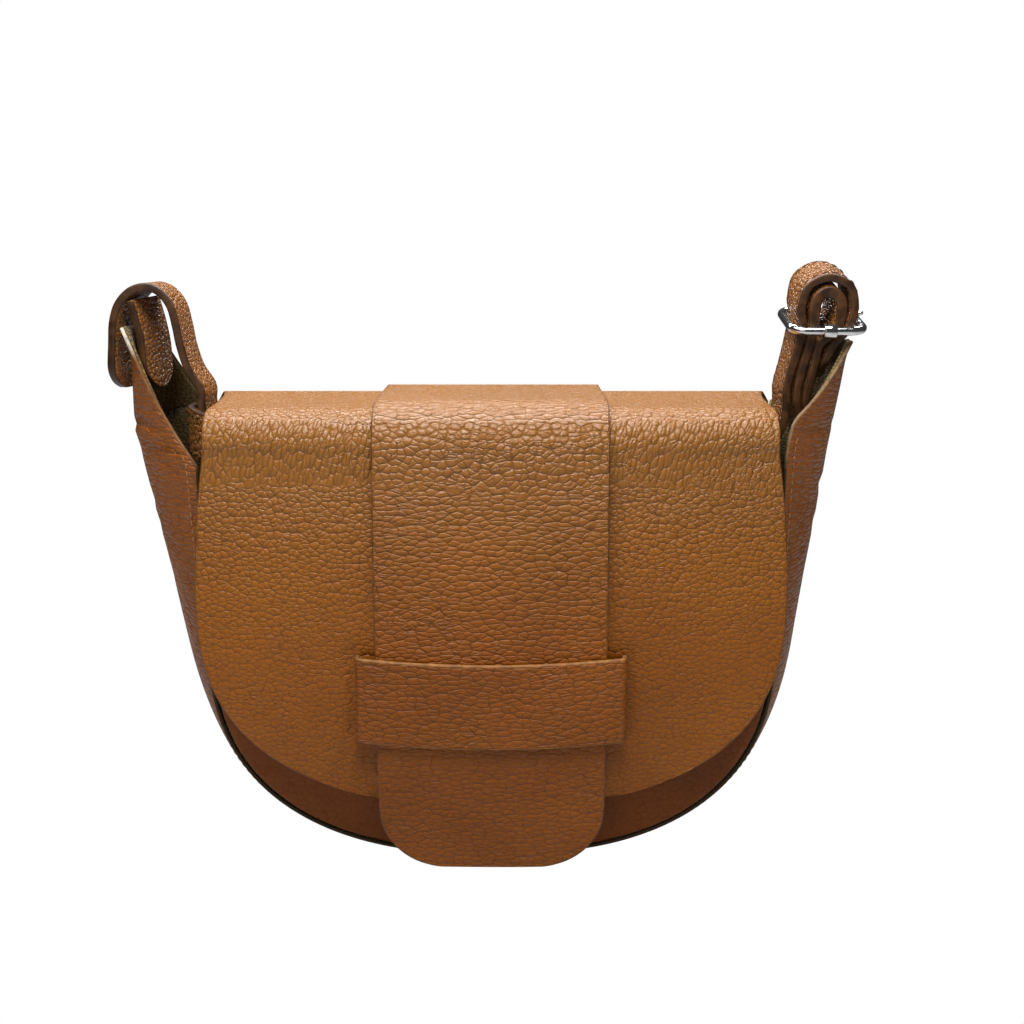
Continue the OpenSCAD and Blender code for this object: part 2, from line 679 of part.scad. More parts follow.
module buckle_frame() {
    rail_half = end_x - buckle_corner_r;
    end_half = rail_y - buckle_corner_r;
    color(silver)
        in_buckle() {
            for (s = [-1, 1]) {
                translate([-rail_half, s * rail_y, 0])
                    rotate([0, 90, 0])
                        cylinder(h = 2 * rail_half, r = wire_r, $fn = round_fn);
                translate([s * end_x, end_half, 0])
                    rotate([90, 0, 0])
                        cylinder(h = 2 * end_half, r = wire_r, $fn = round_fn);
            }
            for (a = [0 : 90 : 270])
                rotate([0, 0, a])
                    translate((a % 180 == 0) ? [rail_half, end_half, 0] : [end_half, rail_half, 0])
                        rotate_extrude(angle = 90, $fn = round_fn)
                            translate([buckle_corner_r, 0])
                                circle(r = wire_r, $fn = round_fn);
        }
}
module buckle_bar() {
    color(silver)
        in_buckle()
            difference() {
                union() {
                    rotate([90, 0, 0])
                        cylinder(h = 2 * (rail_y - wire_r - collar_t / 2), r = bar_r, center = true,
                                 $fn = round_fn);
                    for (s = [-1, 1])
                        translate([0, s * rail_y, 0])
                            rotate([0, 90, 0])
                                cylinder(h = collar_w, r = wire_r + collar_t, center = true,
                                         $fn = round_fn);
                }
                for (s = [-1, 1])
                    translate([0, s * rail_y, 0])
                        rotate([0, 90, 0])
                            cylinder(h = 2 * collar_w, r = wire_r + collar_fit, center = true,
                                     $fn = round_fn);
            }
}
module buckle_prong() {
    color(silver)
        in_buckle()
            difference() {
                union() {
                    rotate([90, 0, 0])
                        cylinder(h = knuckle_w, r = bar_r + knuckle_t, center = true, $fn = round_fn);
                    rotate([0, 90 - prong_lift, 0])
                        cylinder(h = end_x + prong_over, r = prong_r, $fn = round_fn);
                    rotate([0, 90 - prong_lift, 0])
                        translate([0, 0, end_x + prong_over])
                            sphere(r = prong_r, $fn = round_fn);
                }
                rotate([90, 0, 0])
                    cylinder(h = 2 * knuckle_w, r = bar_r + bar_fit, center = true, $fn = round_fn);
            }
}

back_panel();
front_panel();
gusset();
back_lining();
front_lining();
gusset_lining();
inner_pocket();
snap_socket();
snap_washer();
shoulder_strap();
left_anchor_tab();
left_rivets();
buckle_tab();
right_rivet();
flap();
flap_lining();
flap_band();
band_lining();
keeper_loop();
snap_stud();
buckle_frame();
buckle_bar();
buckle_prong();
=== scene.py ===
import math
import bpy
import bmesh
import numpy as np
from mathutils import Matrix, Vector, noise


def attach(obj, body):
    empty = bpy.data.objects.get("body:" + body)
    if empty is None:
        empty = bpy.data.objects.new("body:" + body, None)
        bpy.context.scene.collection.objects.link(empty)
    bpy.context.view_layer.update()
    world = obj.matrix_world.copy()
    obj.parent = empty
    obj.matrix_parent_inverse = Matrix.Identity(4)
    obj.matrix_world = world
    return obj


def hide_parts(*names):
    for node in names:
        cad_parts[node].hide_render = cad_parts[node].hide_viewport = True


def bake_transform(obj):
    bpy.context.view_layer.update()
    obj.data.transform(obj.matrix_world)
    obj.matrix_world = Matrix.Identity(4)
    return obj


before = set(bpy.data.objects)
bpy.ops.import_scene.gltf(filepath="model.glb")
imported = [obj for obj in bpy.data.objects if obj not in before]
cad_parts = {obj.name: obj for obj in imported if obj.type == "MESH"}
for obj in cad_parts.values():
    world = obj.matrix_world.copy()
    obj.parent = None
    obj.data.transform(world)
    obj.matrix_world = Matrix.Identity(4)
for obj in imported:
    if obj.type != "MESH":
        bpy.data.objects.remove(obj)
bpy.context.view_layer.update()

mm = 0.001


def putInScene(name, data):
    obj = bpy.data.objects.new(name, data)
    bpy.context.scene.collection.objects.link(obj)
    return obj


# Camera: stands close in front of the bag and looks a little down on it
camera = {"x": 7.9, "y": -457.7, "z": 245.9, "pitch": 13, "focalPx": 1150, "imagePx": 1024, "sensor": 36,
          "clipStart": 10}


def setCamera():
    data = bpy.data.cameras.new("camera")
    data.sensor_width = camera["sensor"]
    data.lens = camera["focalPx"] / camera["imagePx"] * camera["sensor"]
    data.clip_start = camera["clipStart"] * mm
    obj = putInScene("camera", data)
    obj.location = (camera["x"] * mm, camera["y"] * mm, camera["z"] * mm)
    obj.rotation_euler = (math.radians(90 - camera["pitch"]), 0, 0)
    bpy.context.scene.camera = obj


setCamera()
print("camera set")

# Sizes of the bag in millimetres, as the frame has them
bag = {
    "hingeH": 182.5, "frontH": 165, "seamHalf": 111.5, "seamY": 30, "midHalf": 119, "seamLift": 3,
    "bottomDip": 2, "frontBelly": 10, "backBelly": 5, "backTopIn": 3, "frontCrown": 0.85, "leather": 1.5,
    "lining": 0.8, "glue": 0.2, "gap": 0.3, "seamPower": 2.42, "midPower": 2.37, "sidePart": 0.3,
    "leftLean": 0.206, "rightLean": 0.143, "backLean": 0.07, "seamCentre": 0.547, "midCentre": 0.558,
    "midTop": 1.065, "leanStart": 0.36, "leanSoft": 0.15,
}
wing = {
    "leftTip": (-143.5, 215), "rightTip": (140, 210), "tipWidth": 20, "tipTurn": 8, "rightTurn": 0.4,
    "sag": 4, "crown": 0.5, "tipCrown": 1.2, "rise": 16, "riseSoft": 0.05, "stepPower": 1.4,
}
flap = {
    "width": 225.5, "rollWidth": 216, "hingeWidth": 232, "low": 31, "turnR": 4.5, "rollR": 16, "front": 40,
    "belly": 6, "bellyRun": 1.06, "recess": 6, "recessTop": 0.2, "centre": 0.465, "power": 2.5,
    "lastAngle": 86,
}
band = {"width": 88, "leather": 1.5, "low": 6, "corner": 25}
keeper = {"width": 103, "height": 34, "low": 61, "leather": 1.8, "sag": 2.5, "corner": 2.4}
strap = {"width": 20, "leather": 3.2, "corner": 0.75}
buckle = {
    "width": 31, "depth": 30, "wire": 1.7, "corner": 5.5, "bar": 1.3, "prong": 1, "lean": 14, "collar": 1.2,
    "collarWidth": 5, "fit": 0.05, "knuckle": 1, "knuckleWidth": 3, "barFit": 0.08, "rest": 0.1, "over": 1.5,
    "slotPlay": 0.6,
}
liningOut = bag["leather"] + bag["glue"]
liningIn = liningOut + bag["lining"]
seamInset = bag["leather"] + bag["gap"]


def mix(a, b, t):
    return a + (b - a) * t


def bump(x, centre, width):
    return math.exp(-((x - centre) / width) ** 2)


def softRise(z, start, soft):
    return (math.sqrt((z - start) ** 2 + soft * soft) + z - start) / 2


def smoothStep(t):
    t = min(1, max(0, t))
    return t * t * (3 - 2 * t)


# Shape of the body: half outlines of the seams and of the gusset's middle
def outline(t, half, centre, low, top, power, endAngle=90):
    if t < bag["sidePart"]:
        return half, mix(top, centre, t / bag["sidePart"])
    a = math.radians(endAngle * (t - bag["sidePart"]) / (1 - bag["sidePart"]))
    return half * max(0, math.cos(a)) ** (2 / power), centre - (centre - low) * math.sin(a) ** (2 / power)


def leaned(p, lean):
    rise = softRise(p[1], bag["leanStart"] * bag["frontH"], bag["leanSoft"] * bag["frontH"])
    return p[0] + lean * rise, p[1]


def seamFront(t, s):
    x, z = outline(t, bag["seamHalf"], bag["seamCentre"] * bag["frontH"], bag["seamLift"], bag["frontH"],
                   bag["seamPower"])
    return np.array([s * x, -bag["seamY"], z])


def seamBack(t, s):
    centre = bag["seamCentre"] * bag["frontH"]
    x, z = outline(t, bag["seamHalf"], centre, bag["seamLift"], bag["hingeH"], bag["seamPower"])
    return np.array([s * (x + bag["backLean"] * max(0, z - centre)), bag["seamY"], z])


def gussetMid(t, s):
    p = outline(t, bag["midHalf"], bag["midCentre"] * bag["frontH"], -bag["bottomDip"],
                bag["midTop"] * bag["frontH"], bag["midPower"])
    x, z = leaned(p, bag["leftLean"] if s < 0 else bag["rightLean"])
    return np.array([s * x, 0, z])


def tipFront(s):
    x, z = wing["leftTip"] if s < 0 else wing["rightTip"]
    return np.array([x, -wing["tipWidth"] / 2, z])


def tipBack(s):
    turn = wing["tipTurn"] * (1 if s < 0 else wing["rightTurn"])
    return tipFront(s) - np.array([s * turn, -wing["tipWidth"], 0])


def tipMid(s):
    return (tipFront(s) + tipBack(s)) / 2 + np.array([s * wing["tipCrown"], 0, 0])


def wingEdge(a, b, q):
    return mix(a, b, q) - np.array([0, 0, wing["sag"] * 4 * q * (1 - q)])


def wingMid(a, b, q, s):
    return mix(a, b, q) + np.array([s * wing["crown"] * 4 * q * (1 - q), 0, 0])


def outlineSteps(side, arc):
    part = bag["sidePart"]
    return [part * i / side for i in range(side)] + [part + (1 - part) * i / arc for i in range(arc + 1)]


def gussetRows(wingSteps, side, arc):
    halves = []
    for s in (-1, 1):
        rows = []
        for i in range(wingSteps, 0, -1):
            q = (i / wingSteps) ** wing["stepPower"]
            front = wingEdge(seamFront(0, s), tipFront(s), q)
            if s > 0:
                front[2] += wing["rise"] * (1 - q) * (1 - math.exp(-q / wing["riseSoft"]))
            rows.append((front, wingMid(gussetMid(0, s), tipMid(s), q, s),
                         wingEdge(seamBack(0, s), tipBack(s), q), 1 + q))
        for t in outlineSteps(side, arc):
            rows.append((seamFront(t, s), gussetMid(t, s), seamBack(t, s), 1 - t))
        halves.append(rows)
    return halves[0][:-1] + halves[1][::-1]


def across(row, v):
    f, m, b = row[0], row[1], row[2]
    c = 2 * m - (f + b) / 2
    p = (1 - v) ** 2 * b + 2 * v * (1 - v) * c + v * v * f
    p[2] = max(0, p[2])
    return p


def frontY(u, k):
    return -bag["seamY"] - bag["frontBelly"] * (1 - u * u) * math.sin(math.pi * bag["frontCrown"] * k)


def backY(u, k):
    crown = bag["backBelly"] * (1 - u * u) * math.sin(math.pi * min(1, k))
    return bag["seamY"] + crown - bag["backTopIn"] * k ** 3


def frontGrid(side, arc, cols):
    rows = []
    for t in outlineSteps(side, arc):
        x, z = outline(t, bag["seamHalf"] - seamInset, bag["seamCentre"] * bag["frontH"],
                       bag["seamLift"] + seamInset, bag["frontH"], bag["seamPower"], flap["lastAngle"])
        k = (z - bag["seamLift"]) / (bag["frontH"] - bag["seamLift"])
        rows.append([(u * x, frontY(u, k), z) for u in np.linspace(-1, 1, cols + 1)])
    return np.array(rows)


def backGrid(side, arc, cols, inset):
    rows = []
    centre = bag["seamCentre"] * bag["frontH"]
    for t in outlineSteps(side, arc)[::-1]:
        x, z = outline(t, bag["seamHalf"] - seamInset, centre, bag["seamLift"] + seamInset,
                       bag["hingeH"] - inset, bag["seamPower"], flap["lastAngle"])
        half = x + bag["backLean"] * max(0, z - centre)
        k = (z - bag["seamLift"]) / (bag["hingeH"] - bag["seamLift"])
        rows.append([(u * half, backY(u, k), z) for u in np.linspace(-1, 1, cols + 1)])
    return np.array(rows)


# Shape of the flap: rows of (y, z, normal y, normal z, half width, recess of the side edges)
hingeY = bag["seamY"] - bag["backTopIn"]
topZ = bag["hingeH"] + flap["turnR"]
rollY = -flap["front"] + flap["rollR"]
rollZ = topZ - flap["rollR"]
flapCentre = bag["hingeH"] - flap["centre"] * (bag["hingeH"] - flap["low"])


def frontFaceY(z):
    share = min(1, max(0, (rollZ - z) / (flap["bellyRun"] * rollZ)))
    return -flap["front"] - flap["belly"] * math.sin(math.pi * share)


def topHalfWidth(y):
    k = min(1, max(0, (hingeY - y) / (hingeY - rollY)))
    return mix(flap["hingeWidth"], flap["rollWidth"], math.sqrt(k * (2 - k))) / 2


def frontHalfWidth(z):
    if z > flapCentre:
        return mix(flap["width"] / 2, flap["rollWidth"] / 2, ((z - flapCentre) / (rollZ - flapCentre)) ** 2)
    drop = max(0, 1 - ((flapCentre - z) / (flapCentre - flap["low"])) ** flap["power"])
    return flap["width"] / 2 * drop ** (1 / flap["power"])


def frontRow(z):
    dz = flap["rollR"] / 100
    dy = frontFaceY(z + dz) - frontFaceY(z - dz)
    size = math.hypot(2 * dz, dy)
    return frontFaceY(z), z, -2 * dz / size, dy / size, frontHalfWidth(max(z, flap["low"])), flap["recess"]


def topRows(turnSteps, topSteps, rollSteps):
    rows = []
    for i in range(turnSteps + 1):
        a = math.pi / 2 * i / turnSteps
        y = hingeY - flap["turnR"] * (1 - math.cos(a))
        z = bag["hingeH"] + flap["turnR"] * math.sin(a)
        rows.append((y, z, math.cos(a), math.sin(a), topHalfWidth(y), 0))
    for i in range(1, topSteps + 1):
        y = mix(hingeY - flap["turnR"], rollY, i / topSteps)
        rows.append((y, topZ, 0, 1, topHalfWidth(y), flap["recessTop"] * flap["recess"] * i / topSteps))
    for i in range(1, rollSteps + 1):
        a = math.pi / 2 * i / rollSteps
        rows.append((rollY - flap["rollR"] * math.sin(a), rollZ + flap["rollR"] * math.cos(a), -math.sin(a),
                     math.cos(a), flap["rollWidth"] / 2,
                     flap["recess"] * mix(flap["recessTop"], 1, i / rollSteps)))
    return rows


def dropLevels(drop, arc):
    levels = [mix(rollZ, flapCentre, i / drop) for i in range(1, drop + 1)]
    for i in range(1, arc + 1):
        a = math.radians(flap["lastAngle"] * i / arc)
        levels.append(flapCentre - (flapCentre - flap["low"]) * math.sin(a) ** (2 / flap["power"]))
    return levels


def facePoint(row, x, lift):
    d = lift - row[5] * (x / (flap["width"] / 2)) ** 2
    return x, row[0] + row[2] * d, row[1] + row[3] * d


def bandHalf(z):
    half = band["width"] / 2
    if z > band["low"] + band["corner"]:
        return half
    rest = band["corner"] ** 2 - (band["low"] + band["corner"] - z) ** 2
    return half - band["corner"] + math.sqrt(max(0, rest))


# Materials
def shade(r, g, b):
    def linear(c):
        c = c / 255
        return c / 12.92 if c <= 0.04045 else ((c + 0.055) / 1.055) ** 2.4
    return linear(r), linear(g), linear(b), 1


def feed(tree, value, socket):
    # A socket is set to a value, or linked to another node's output
    if isinstance(value, bpy.types.NodeSocket):
        tree.links.new(value, socket)
    else:
        socket.default_value = value


def addNode(tree, kind, inputs=None, **settings):
    node = tree.nodes.new(kind)
    for key, value in settings.items():
        setattr(node, key, value)
    for key, value in (inputs or {}).items():
        feed(tree, value, node.inputs[key])
    return node


class Nodes:
    def __init__(self, name):
        self.material = bpy.data.materials.new(name)
        self.material.use_nodes = True
        self.tree = self.material.node_tree
        self.shader = self.tree.nodes["Principled BSDF"]

    def add(self, kind, inputs=None, **settings):
        return addNode(self.tree, kind, inputs, **settings)

    def math(self, operation, a, b, clamp=False):
        return self.add("ShaderNodeMath", {0: a, 1: b}, operation=operation, use_clamp=clamp).outputs[0]

    def ramp(self, source, low, high, lowValue=0, highValue=1):
        values = {"Value": source, "From Min": low, "From Max": high, "To Min": lowValue, "To Max": highValue}
        return self.add("ShaderNodeMapRange", values, interpolation_type="SMOOTHSTEP").outputs[0]

    def blend(self, factor, a, b):
        return self.add("ShaderNodeMix", {0: factor, 6: a, 7: b}, data_type="RGBA").outputs[2]

    def between(self, share, a, b):
        # A number from a to b
        first = self.math("MULTIPLY", a, self.math("SUBTRACT", 1, share))
        return self.math("ADD", first, self.math("MULTIPLY", b, share))

    def noise(self, vector, scale, detail=3):
        values = {"Vector": vector, "Scale": scale, "Detail": detail}
        return self.add("ShaderNodeTexNoise", values).outputs["Fac"]

    def uv(self):
        return self.add("ShaderNodeUVMap", uv_map="flat").outputs[0]

    def place(self):
        return self.add("ShaderNodeTexCoord").outputs["Object"]

    def along(self, axis):
        return self.add("ShaderNodeSeparateXYZ", {0: self.place()}).outputs[axis]

    def bump(self, height, distance, strength=1):
        values = {"Height": height, "Distance": distance * mm, "Strength": strength}
        return self.add("ShaderNodeBump", values)

    def paint(self, values):
        for key, value in values.items():
            feed(self.tree, value, self.shader.inputs[key])
        return self.material


tones = {
    # The first tone is painted light: the paler colour of the flap and band towards the top, where the
    # overhead light falls
    "paintedLitTop": shade(152, 102, 40),
    # The Crevice tones are painted shade: the dark of the grain's valleys and creases
    "flapLight": shade(152, 87, 18), "flapDark": shade(136, 75, 13), "flapCrevice": shade(80, 38, 5),
    "bandLight": shade(148, 82, 16), "bandDark": shade(130, 69, 11), "bandCrevice": shade(66, 31, 4),
    "bodyLight": shade(136, 71, 10), "bodyDark": shade(110, 54, 7), "bodyCrevice": shade(62, 29, 4),
    "gussetLight": shade(144, 79, 18), "gussetDark": shade(116, 60, 12), "gussetCrevice": shade(50, 24, 5),
    "strapLight": shade(156, 98, 38), "strapDark": shade(112, 64, 20), "strapCrevice": shade(42, 21, 5),
    "flapEdge": shade(128, 76, 26), "flapEdgeDark": shade(88, 50, 14),
    "strapEdge": shade(82, 48, 14), "strapEdgeDark": shade(52, 29, 7),
    "cutEdge": shade(168, 114, 52), "cutEdgeDark": shade(124, 78, 30),
    "rimSeam": shade(60, 44, 16), "rimDark": shade(46, 28, 9), "rimLeft": shade(118, 74, 32),
    "rimTip": shade(206, 196, 178), "rimRight": shade(134, 104, 72),
    "khaki": shade(138, 120, 48), "khakiDark": shade(90, 76, 26),
    "olive": shade(130, 108, 54), "oliveDark": shade(86, 68, 30),
    "silver": shade(226, 226, 228), "silverDark": shade(196, 196, 199),
    "darkThread": shade(74, 42, 20), "darkThreadDark": shade(40, 22, 10),
    "paleThread": shade(190, 146, 98), "paleThreadDark": shade(134, 92, 52),
}
# Sizes of the grain: the fine and the long cells are shares of each leather's own, scales are of noise
grainLook = {
    "warp": 1.3, "pushScale": 260, "valley": 0.2, "valleyDepth": 0.35, "roundDepth": 1.1, "line": 0.1,
    "creviceShadeShare": 0.32, "fine": 0.4, "fineWarp": 0.6, "fineEdge": 0.3, "fineDepth": 0.08, "longAcross": 3.4,
    "longAlong": 1.7, "longWarp": 3, "longEdge": 0.1, "creaseShadeShare": 0.6, "deepScale": 190, "foldScale": 34,
    "toneScale": 14, "roughScale": 420, "roughNoise": 0.1, "roughValley": 0.25, "pull": (0.3, 0.7),
    "folded": (0.4, 0.72), "spread": (0.3, 0.7),
}
# Heights in metres between which the leathers change towards the roll; between the pale heights the colour is
# painted paler towards the top, which is painted light of the overhead lamp
rollFade = {"grain": (0.09, 0.15), "pale": (0.08, 0.2), "gloss": (0.14, 0.18), "shine": (0.13, 0.18)}
rollLook = {"pale": 0.75, "gloss": 0.08, "shine": 1.9}


def pebbles(n, vector, wide, tall, warp, slant=0):
    # Cells of grain: rounded tops and the distance to their borders, pushed about by a little noise
    push = n.add("ShaderNodeTexNoise", {"Vector": vector, "Scale": grainLook["pushScale"], "Detail": 2})
    centred = n.add("ShaderNodeVectorMath", {0: push.outputs["Color"], 1: (0.5, 0.5, 0.5)},
                    operation="SUBTRACT")
    scaled = n.add("ShaderNodeVectorMath", {0: centred.outputs[0], "Scale": warp * mm}, operation="SCALE")
    moved = n.add("ShaderNodeVectorMath", {0: vector, 1: scaled.outputs[0]}, operation="ADD")
    turned = n.add("ShaderNodeMapping", {"Vector": moved.outputs[0], "Rotation": (0, 0, slant)})
    size = (1 / (wide * mm), 1 / (tall * mm), 1)
    stretched = n.add("ShaderNodeMapping", {"Vector": turned.outputs[0], "Scale": size}).outputs[0]
    return [n.add("ShaderNodeTexVoronoi", {"Vector": stretched, "Scale": 1}, voronoi_dimensions="2D",
                  feature=feature).outputs["Distance"] for feature in ("F1", "DISTANCE_TO_EDGE")]


def leather(kind, pale, grain, along, depth, creases, gloss=0.3, even=0.5, shine=0.28, nearRoll=None):
    # Rounded grain with valleys of uneven depth, a few longer creases and slow changes of colour; the valleys
    # and creases are darkened as painted shade, and the colour is painted paler towards the top as painted
    # light
    n = Nodes(kind + "Leather")
    look, warp = grainLook, grainLook["warp"]
    flat, height = n.uv(), n.along("Z")
    tops, cells = pebbles(n, flat, grain, along, warp)
    strength = 1
    if nearRoll is not None:
        tallTops, tall = pebbles(n, flat, nearRoll["wide"], nearRoll["tall"], warp, nearRoll["slant"])
        pull = n.ramp(n.add("ShaderNodeAttribute", attribute_name="pull").outputs["Fac"], *look["pull"])
        tops = n.between(pull, tops, tallTops)
        cells = n.between(pull, cells, tall)
        strength = n.ramp(height, *rollFade["grain"], nearRoll["least"], 1)
    fine = pebbles(n, flat, grain * look["fine"], along * look["fine"], warp * look["fineWarp"])[1]
    long = pebbles(n, flat, grain * look["longAcross"], along * look["longAlong"], warp * look["longWarp"])[1]
    deep = n.ramp(n.noise(flat, look["deepScale"], 2), *look["spread"], even, 1)
    folded = n.ramp(n.noise(flat, look["foldScale"]), *look["folded"])
    valley = n.math("MULTIPLY", n.ramp(cells, 0, look["valley"], 1, 0), deep)
    small = n.math("MULTIPLY", n.ramp(fine, 0, look["fineEdge"], 1, 0), look["fineDepth"])
    crease = n.math("MULTIPLY", n.ramp(long, 0, look["longEdge"], 1, 0), folded)
    sunk = n.math("ADD", n.math("MULTIPLY", valley, look["valleyDepth"]), small)
    rounded = n.math("MULTIPLY", n.math("MULTIPLY", tops, tops), look["roundDepth"])
    sunk = n.math("MULTIPLY", n.math("ADD", sunk, rounded), strength)
    sunk = n.math("ADD", sunk, n.math("MULTIPLY", crease, creases))
    patch = n.ramp(n.noise(flat, look["toneScale"]), *look["spread"])
    tone = n.blend(patch, tones[kind + "Dark"], tones[kind + "Light"])
    # Painted light: every leather turns paler towards the top of the bag, where the overhead light falls
    tone = n.blend(n.ramp(height, *rollFade["pale"], 0, rollLook["pale"]), tone, tones[pale])
    # Painted shade: the valley lines and the longer creases are darkened towards the Crevice tone
    line = n.math("MULTIPLY", n.ramp(cells, 0, look["line"], 1, 0), deep)
    line = n.math("ADD", line, n.math("MULTIPLY", crease, look["creaseShadeShare"]), True)
    line = n.math("MULTIPLY", line, look["creviceShadeShare"])
    rough = n.math("MULTIPLY", n.noise(flat, look["roughScale"], 2), look["roughNoise"])
    rough = n.math("ADD", rough, n.math("MULTIPLY", valley, look["roughValley"]))
    base = n.ramp(height, *rollFade["gloss"], gloss, gloss - rollLook["gloss"])
    glint = n.ramp(height, *rollFade["shine"], shine, shine * rollLook["shine"])
    return n.paint({"Base Color": n.blend(line, tone, tones[kind + "Crevice"]),
                    "Roughness": n.math("ADD", rough, base), "Specular IOR Level": glint,
                    "Normal": n.bump(n.math("SUBTRACT", 1, sunk), depth).outputs[0]})


paintLook = {"patch": 260, "tone": (0.35, 0.7), "smoother": 0.06, "rougher": 0.12, "grain": 900,
             "depth": 0.08}


def edgePaint(name, gloss=0.45):
    # Painted cut edge: slightly uneven
    n = Nodes(name)
    patch = n.noise(n.place(), paintLook["patch"])
    rough = n.ramp(patch, 0.2, 0.8, gloss - paintLook["smoother"], gloss + paintLook["rougher"])
    tone = n.blend(n.ramp(patch, *paintLook["tone"]), tones[name + "Dark"], tones[name])
    return n.paint({"Base Color": tone, "Roughness": rough,
                    "Normal": n.bump(n.noise(n.place(), paintLook["grain"]), paintLook["depth"]).outputs[0]})


# Where the gusset's bare edge changes, in metres
rimFade = {"tip": (0.203, 0.21), "side": (-0.05, 0.05), "wing": (0.162, 0.17)}
rimLook = {"patch": 420, "dirt": 0.45, "rough": 0.65, "shine": 0.3, "grain": 1100, "depth": 0.12}


def gussetRim(name):
    # Cut edge of the gusset: dark paint along the seams, bare and paler along the wings
    n = Nodes(name)
    height = n.along("Z")
    left = n.blend(n.ramp(height, *rimFade["tip"]), tones["rimLeft"], tones["rimTip"])
    bare = n.blend(n.ramp(n.along("X"), *rimFade["side"]), left, tones["rimRight"])
    tone = n.blend(n.ramp(height, *rimFade["wing"]), tones["rimSeam"], bare)
    patch = n.math("MULTIPLY", n.ramp(n.noise(n.place(), rimLook["patch"]), 0.4, 0.7), rimLook["dirt"])
    return n.paint({"Base Color": n.blend(patch, tone, tones["rimDark"]), "Roughness": rimLook["rough"],
                    "Specular IOR Level": rimLook["shine"],
                    "Normal": n.bump(n.noise(n.place(), rimLook["grain"]), rimLook["depth"]).outputs[0]})


fleshLook = {"fibre": 1400, "patch": 90, "dirt": 0.4, "rough": 0.9, "sheen": 0.2, "depth": 0.25}


def flesh(name):
    # The flesh side of the leather: matt fibres
    n = Nodes(name)
    fibre = n.noise(n.place(), fleshLook["fibre"], 5)
    patch = n.math("MULTIPLY", n.ramp(n.noise(n.place(), fleshLook["patch"]), 0.3, 0.7), fleshLook["dirt"])
    tone = n.blend(n.ramp(fibre, 0.3, 0.7), tones["khakiDark"], tones["khaki"])
    return n.paint({"Base Color": n.blend(patch, tone, tones["khakiDark"]), "Roughness": fleshLook["rough"],
                    "Sheen Weight": fleshLook["sheen"],
                    "Normal": n.bump(fibre, fleshLook["depth"]).outputs[0]})


clothLook = {"fibre": 1500, "grain": (2.4, 1.3, 1.2), "ridge": 0.3, "worn": 0.35, "rough": 0.82,
             "sheen": 0.15, "depth": 0.22, "fuzz": 0.08, "fuzzShare": 0.7}


def liningCloth(name):
    # Olive lining: thin backed suede with a short crinkled grain
    n = Nodes(name)
    fibre = n.noise(n.place(), clothLook["fibre"], 4)
    ridge = n.ramp(pebbles(n, n.uv(), *clothLook["grain"])[1], 0, clothLook["ridge"])
    tone = n.blend(ridge, tones["oliveDark"], tones["olive"])
    worn = n.math("MULTIPLY", n.ramp(fibre, 0.4, 0.7), clothLook["worn"])
    fuzz = n.bump(fibre, clothLook["fuzz"], clothLook["fuzzShare"])
    feed(n.tree, n.bump(ridge, clothLook["depth"]).outputs[0], fuzz.inputs["Normal"])
    return n.paint({"Base Color": n.blend(worn, tone, tones["oliveDark"]), "Roughness": clothLook["rough"],
                    "Sheen Weight": clothLook["sheen"], "Normal": fuzz.outputs[0]})


metalLook = {"wear": 700, "tone": (0.45, 0.75), "rough": (0.08, 0.2), "depth": 0.01}


def polishedMetal(name):
    # Bright plated metal with hairline wear
    n = Nodes(name)
    wear = n.noise(n.place(), metalLook["wear"], 4)
    tone = n.blend(n.ramp(wear, *metalLook["tone"]), tones["silver"], tones["silverDark"])
    rough = n.ramp(wear, 0.3, 0.8, *metalLook["rough"])
    return n.paint({"Base Color": tone, "Metallic": 1, "Roughness": rough,
                    "Normal": n.bump(wear, metalLook["depth"]).outputs[0]})


threadLook = {"twist": {"Scale": 900, "Distortion": 1.5}, "rough": 0.7, "depth": 0.05}


def threadCord(name):
    n = Nodes(name)
    wave = n.add("ShaderNodeTexWave", {"Vector": n.place(), **threadLook["twist"]}, wave_type="BANDS")
    twist = wave.outputs["Fac"]
    return n.paint({"Base Color": n.blend(twist, tones[name + "Dark"], tones[name]),
                    "Roughness": threadLook["rough"],
                    "Normal": n.bump(twist, threadLook["depth"]).outputs[0]})


flapLeather = leather("flap", "paintedLitTop", 2.6, 1.9, depth=0.55, creases=0.45,
                      nearRoll={"wide": 1.8, "tall": 4.0, "slant": -0.25, "least": 0.6})
bandLeather = leather("band", "paintedLitTop", 4.0, 1.9, depth=0.6, creases=0.55,
                      nearRoll={"wide": 3.0, "tall": 2.4, "slant": 0, "least": 0.85})
bodyLeather = leather("body", "bodyLight", 3.4, 2.6, depth=0.16, creases=0.2, gloss=0.42, even=0.2, shine=0.2)
gussetLeather = leather("gusset", "gussetLight", 7.5, 1.7, depth=0.6, creases=0.7, gloss=0.36)
strapLeather = leather("strap", "strapLight", 2.2, 1.6, depth=0.9, creases=0.6, gloss=0.24, shine=0.3)
flapEdge = edgePaint("flapEdge")
strapEdge = edgePaint("strapEdge", 0.4)
cutEdge = edgePaint("cutEdge", 0.6)
gussetEdge = gussetRim("gussetEdge")
khakiFlesh = flesh("khakiFlesh")
oliveLining = liningCloth("oliveLining")
silver = polishedMetal("silver")
darkThread = threadCord("darkThread")
paleThread = threadCord("paleThread")
print("materials made")


def unit(vectors):
    return vectors / np.maximum(np.linalg.norm(vectors, axis=-1, keepdims=True), 1e-9)


def turnOutwards(mesh):
    # Faces of a closed piece all point outwards
    data = bmesh.new()
    data.from_mesh(mesh)
    bmesh.ops.recalc_face_normals(data, faces=data.faces)
    data.to_mesh(mesh)
    data.free()


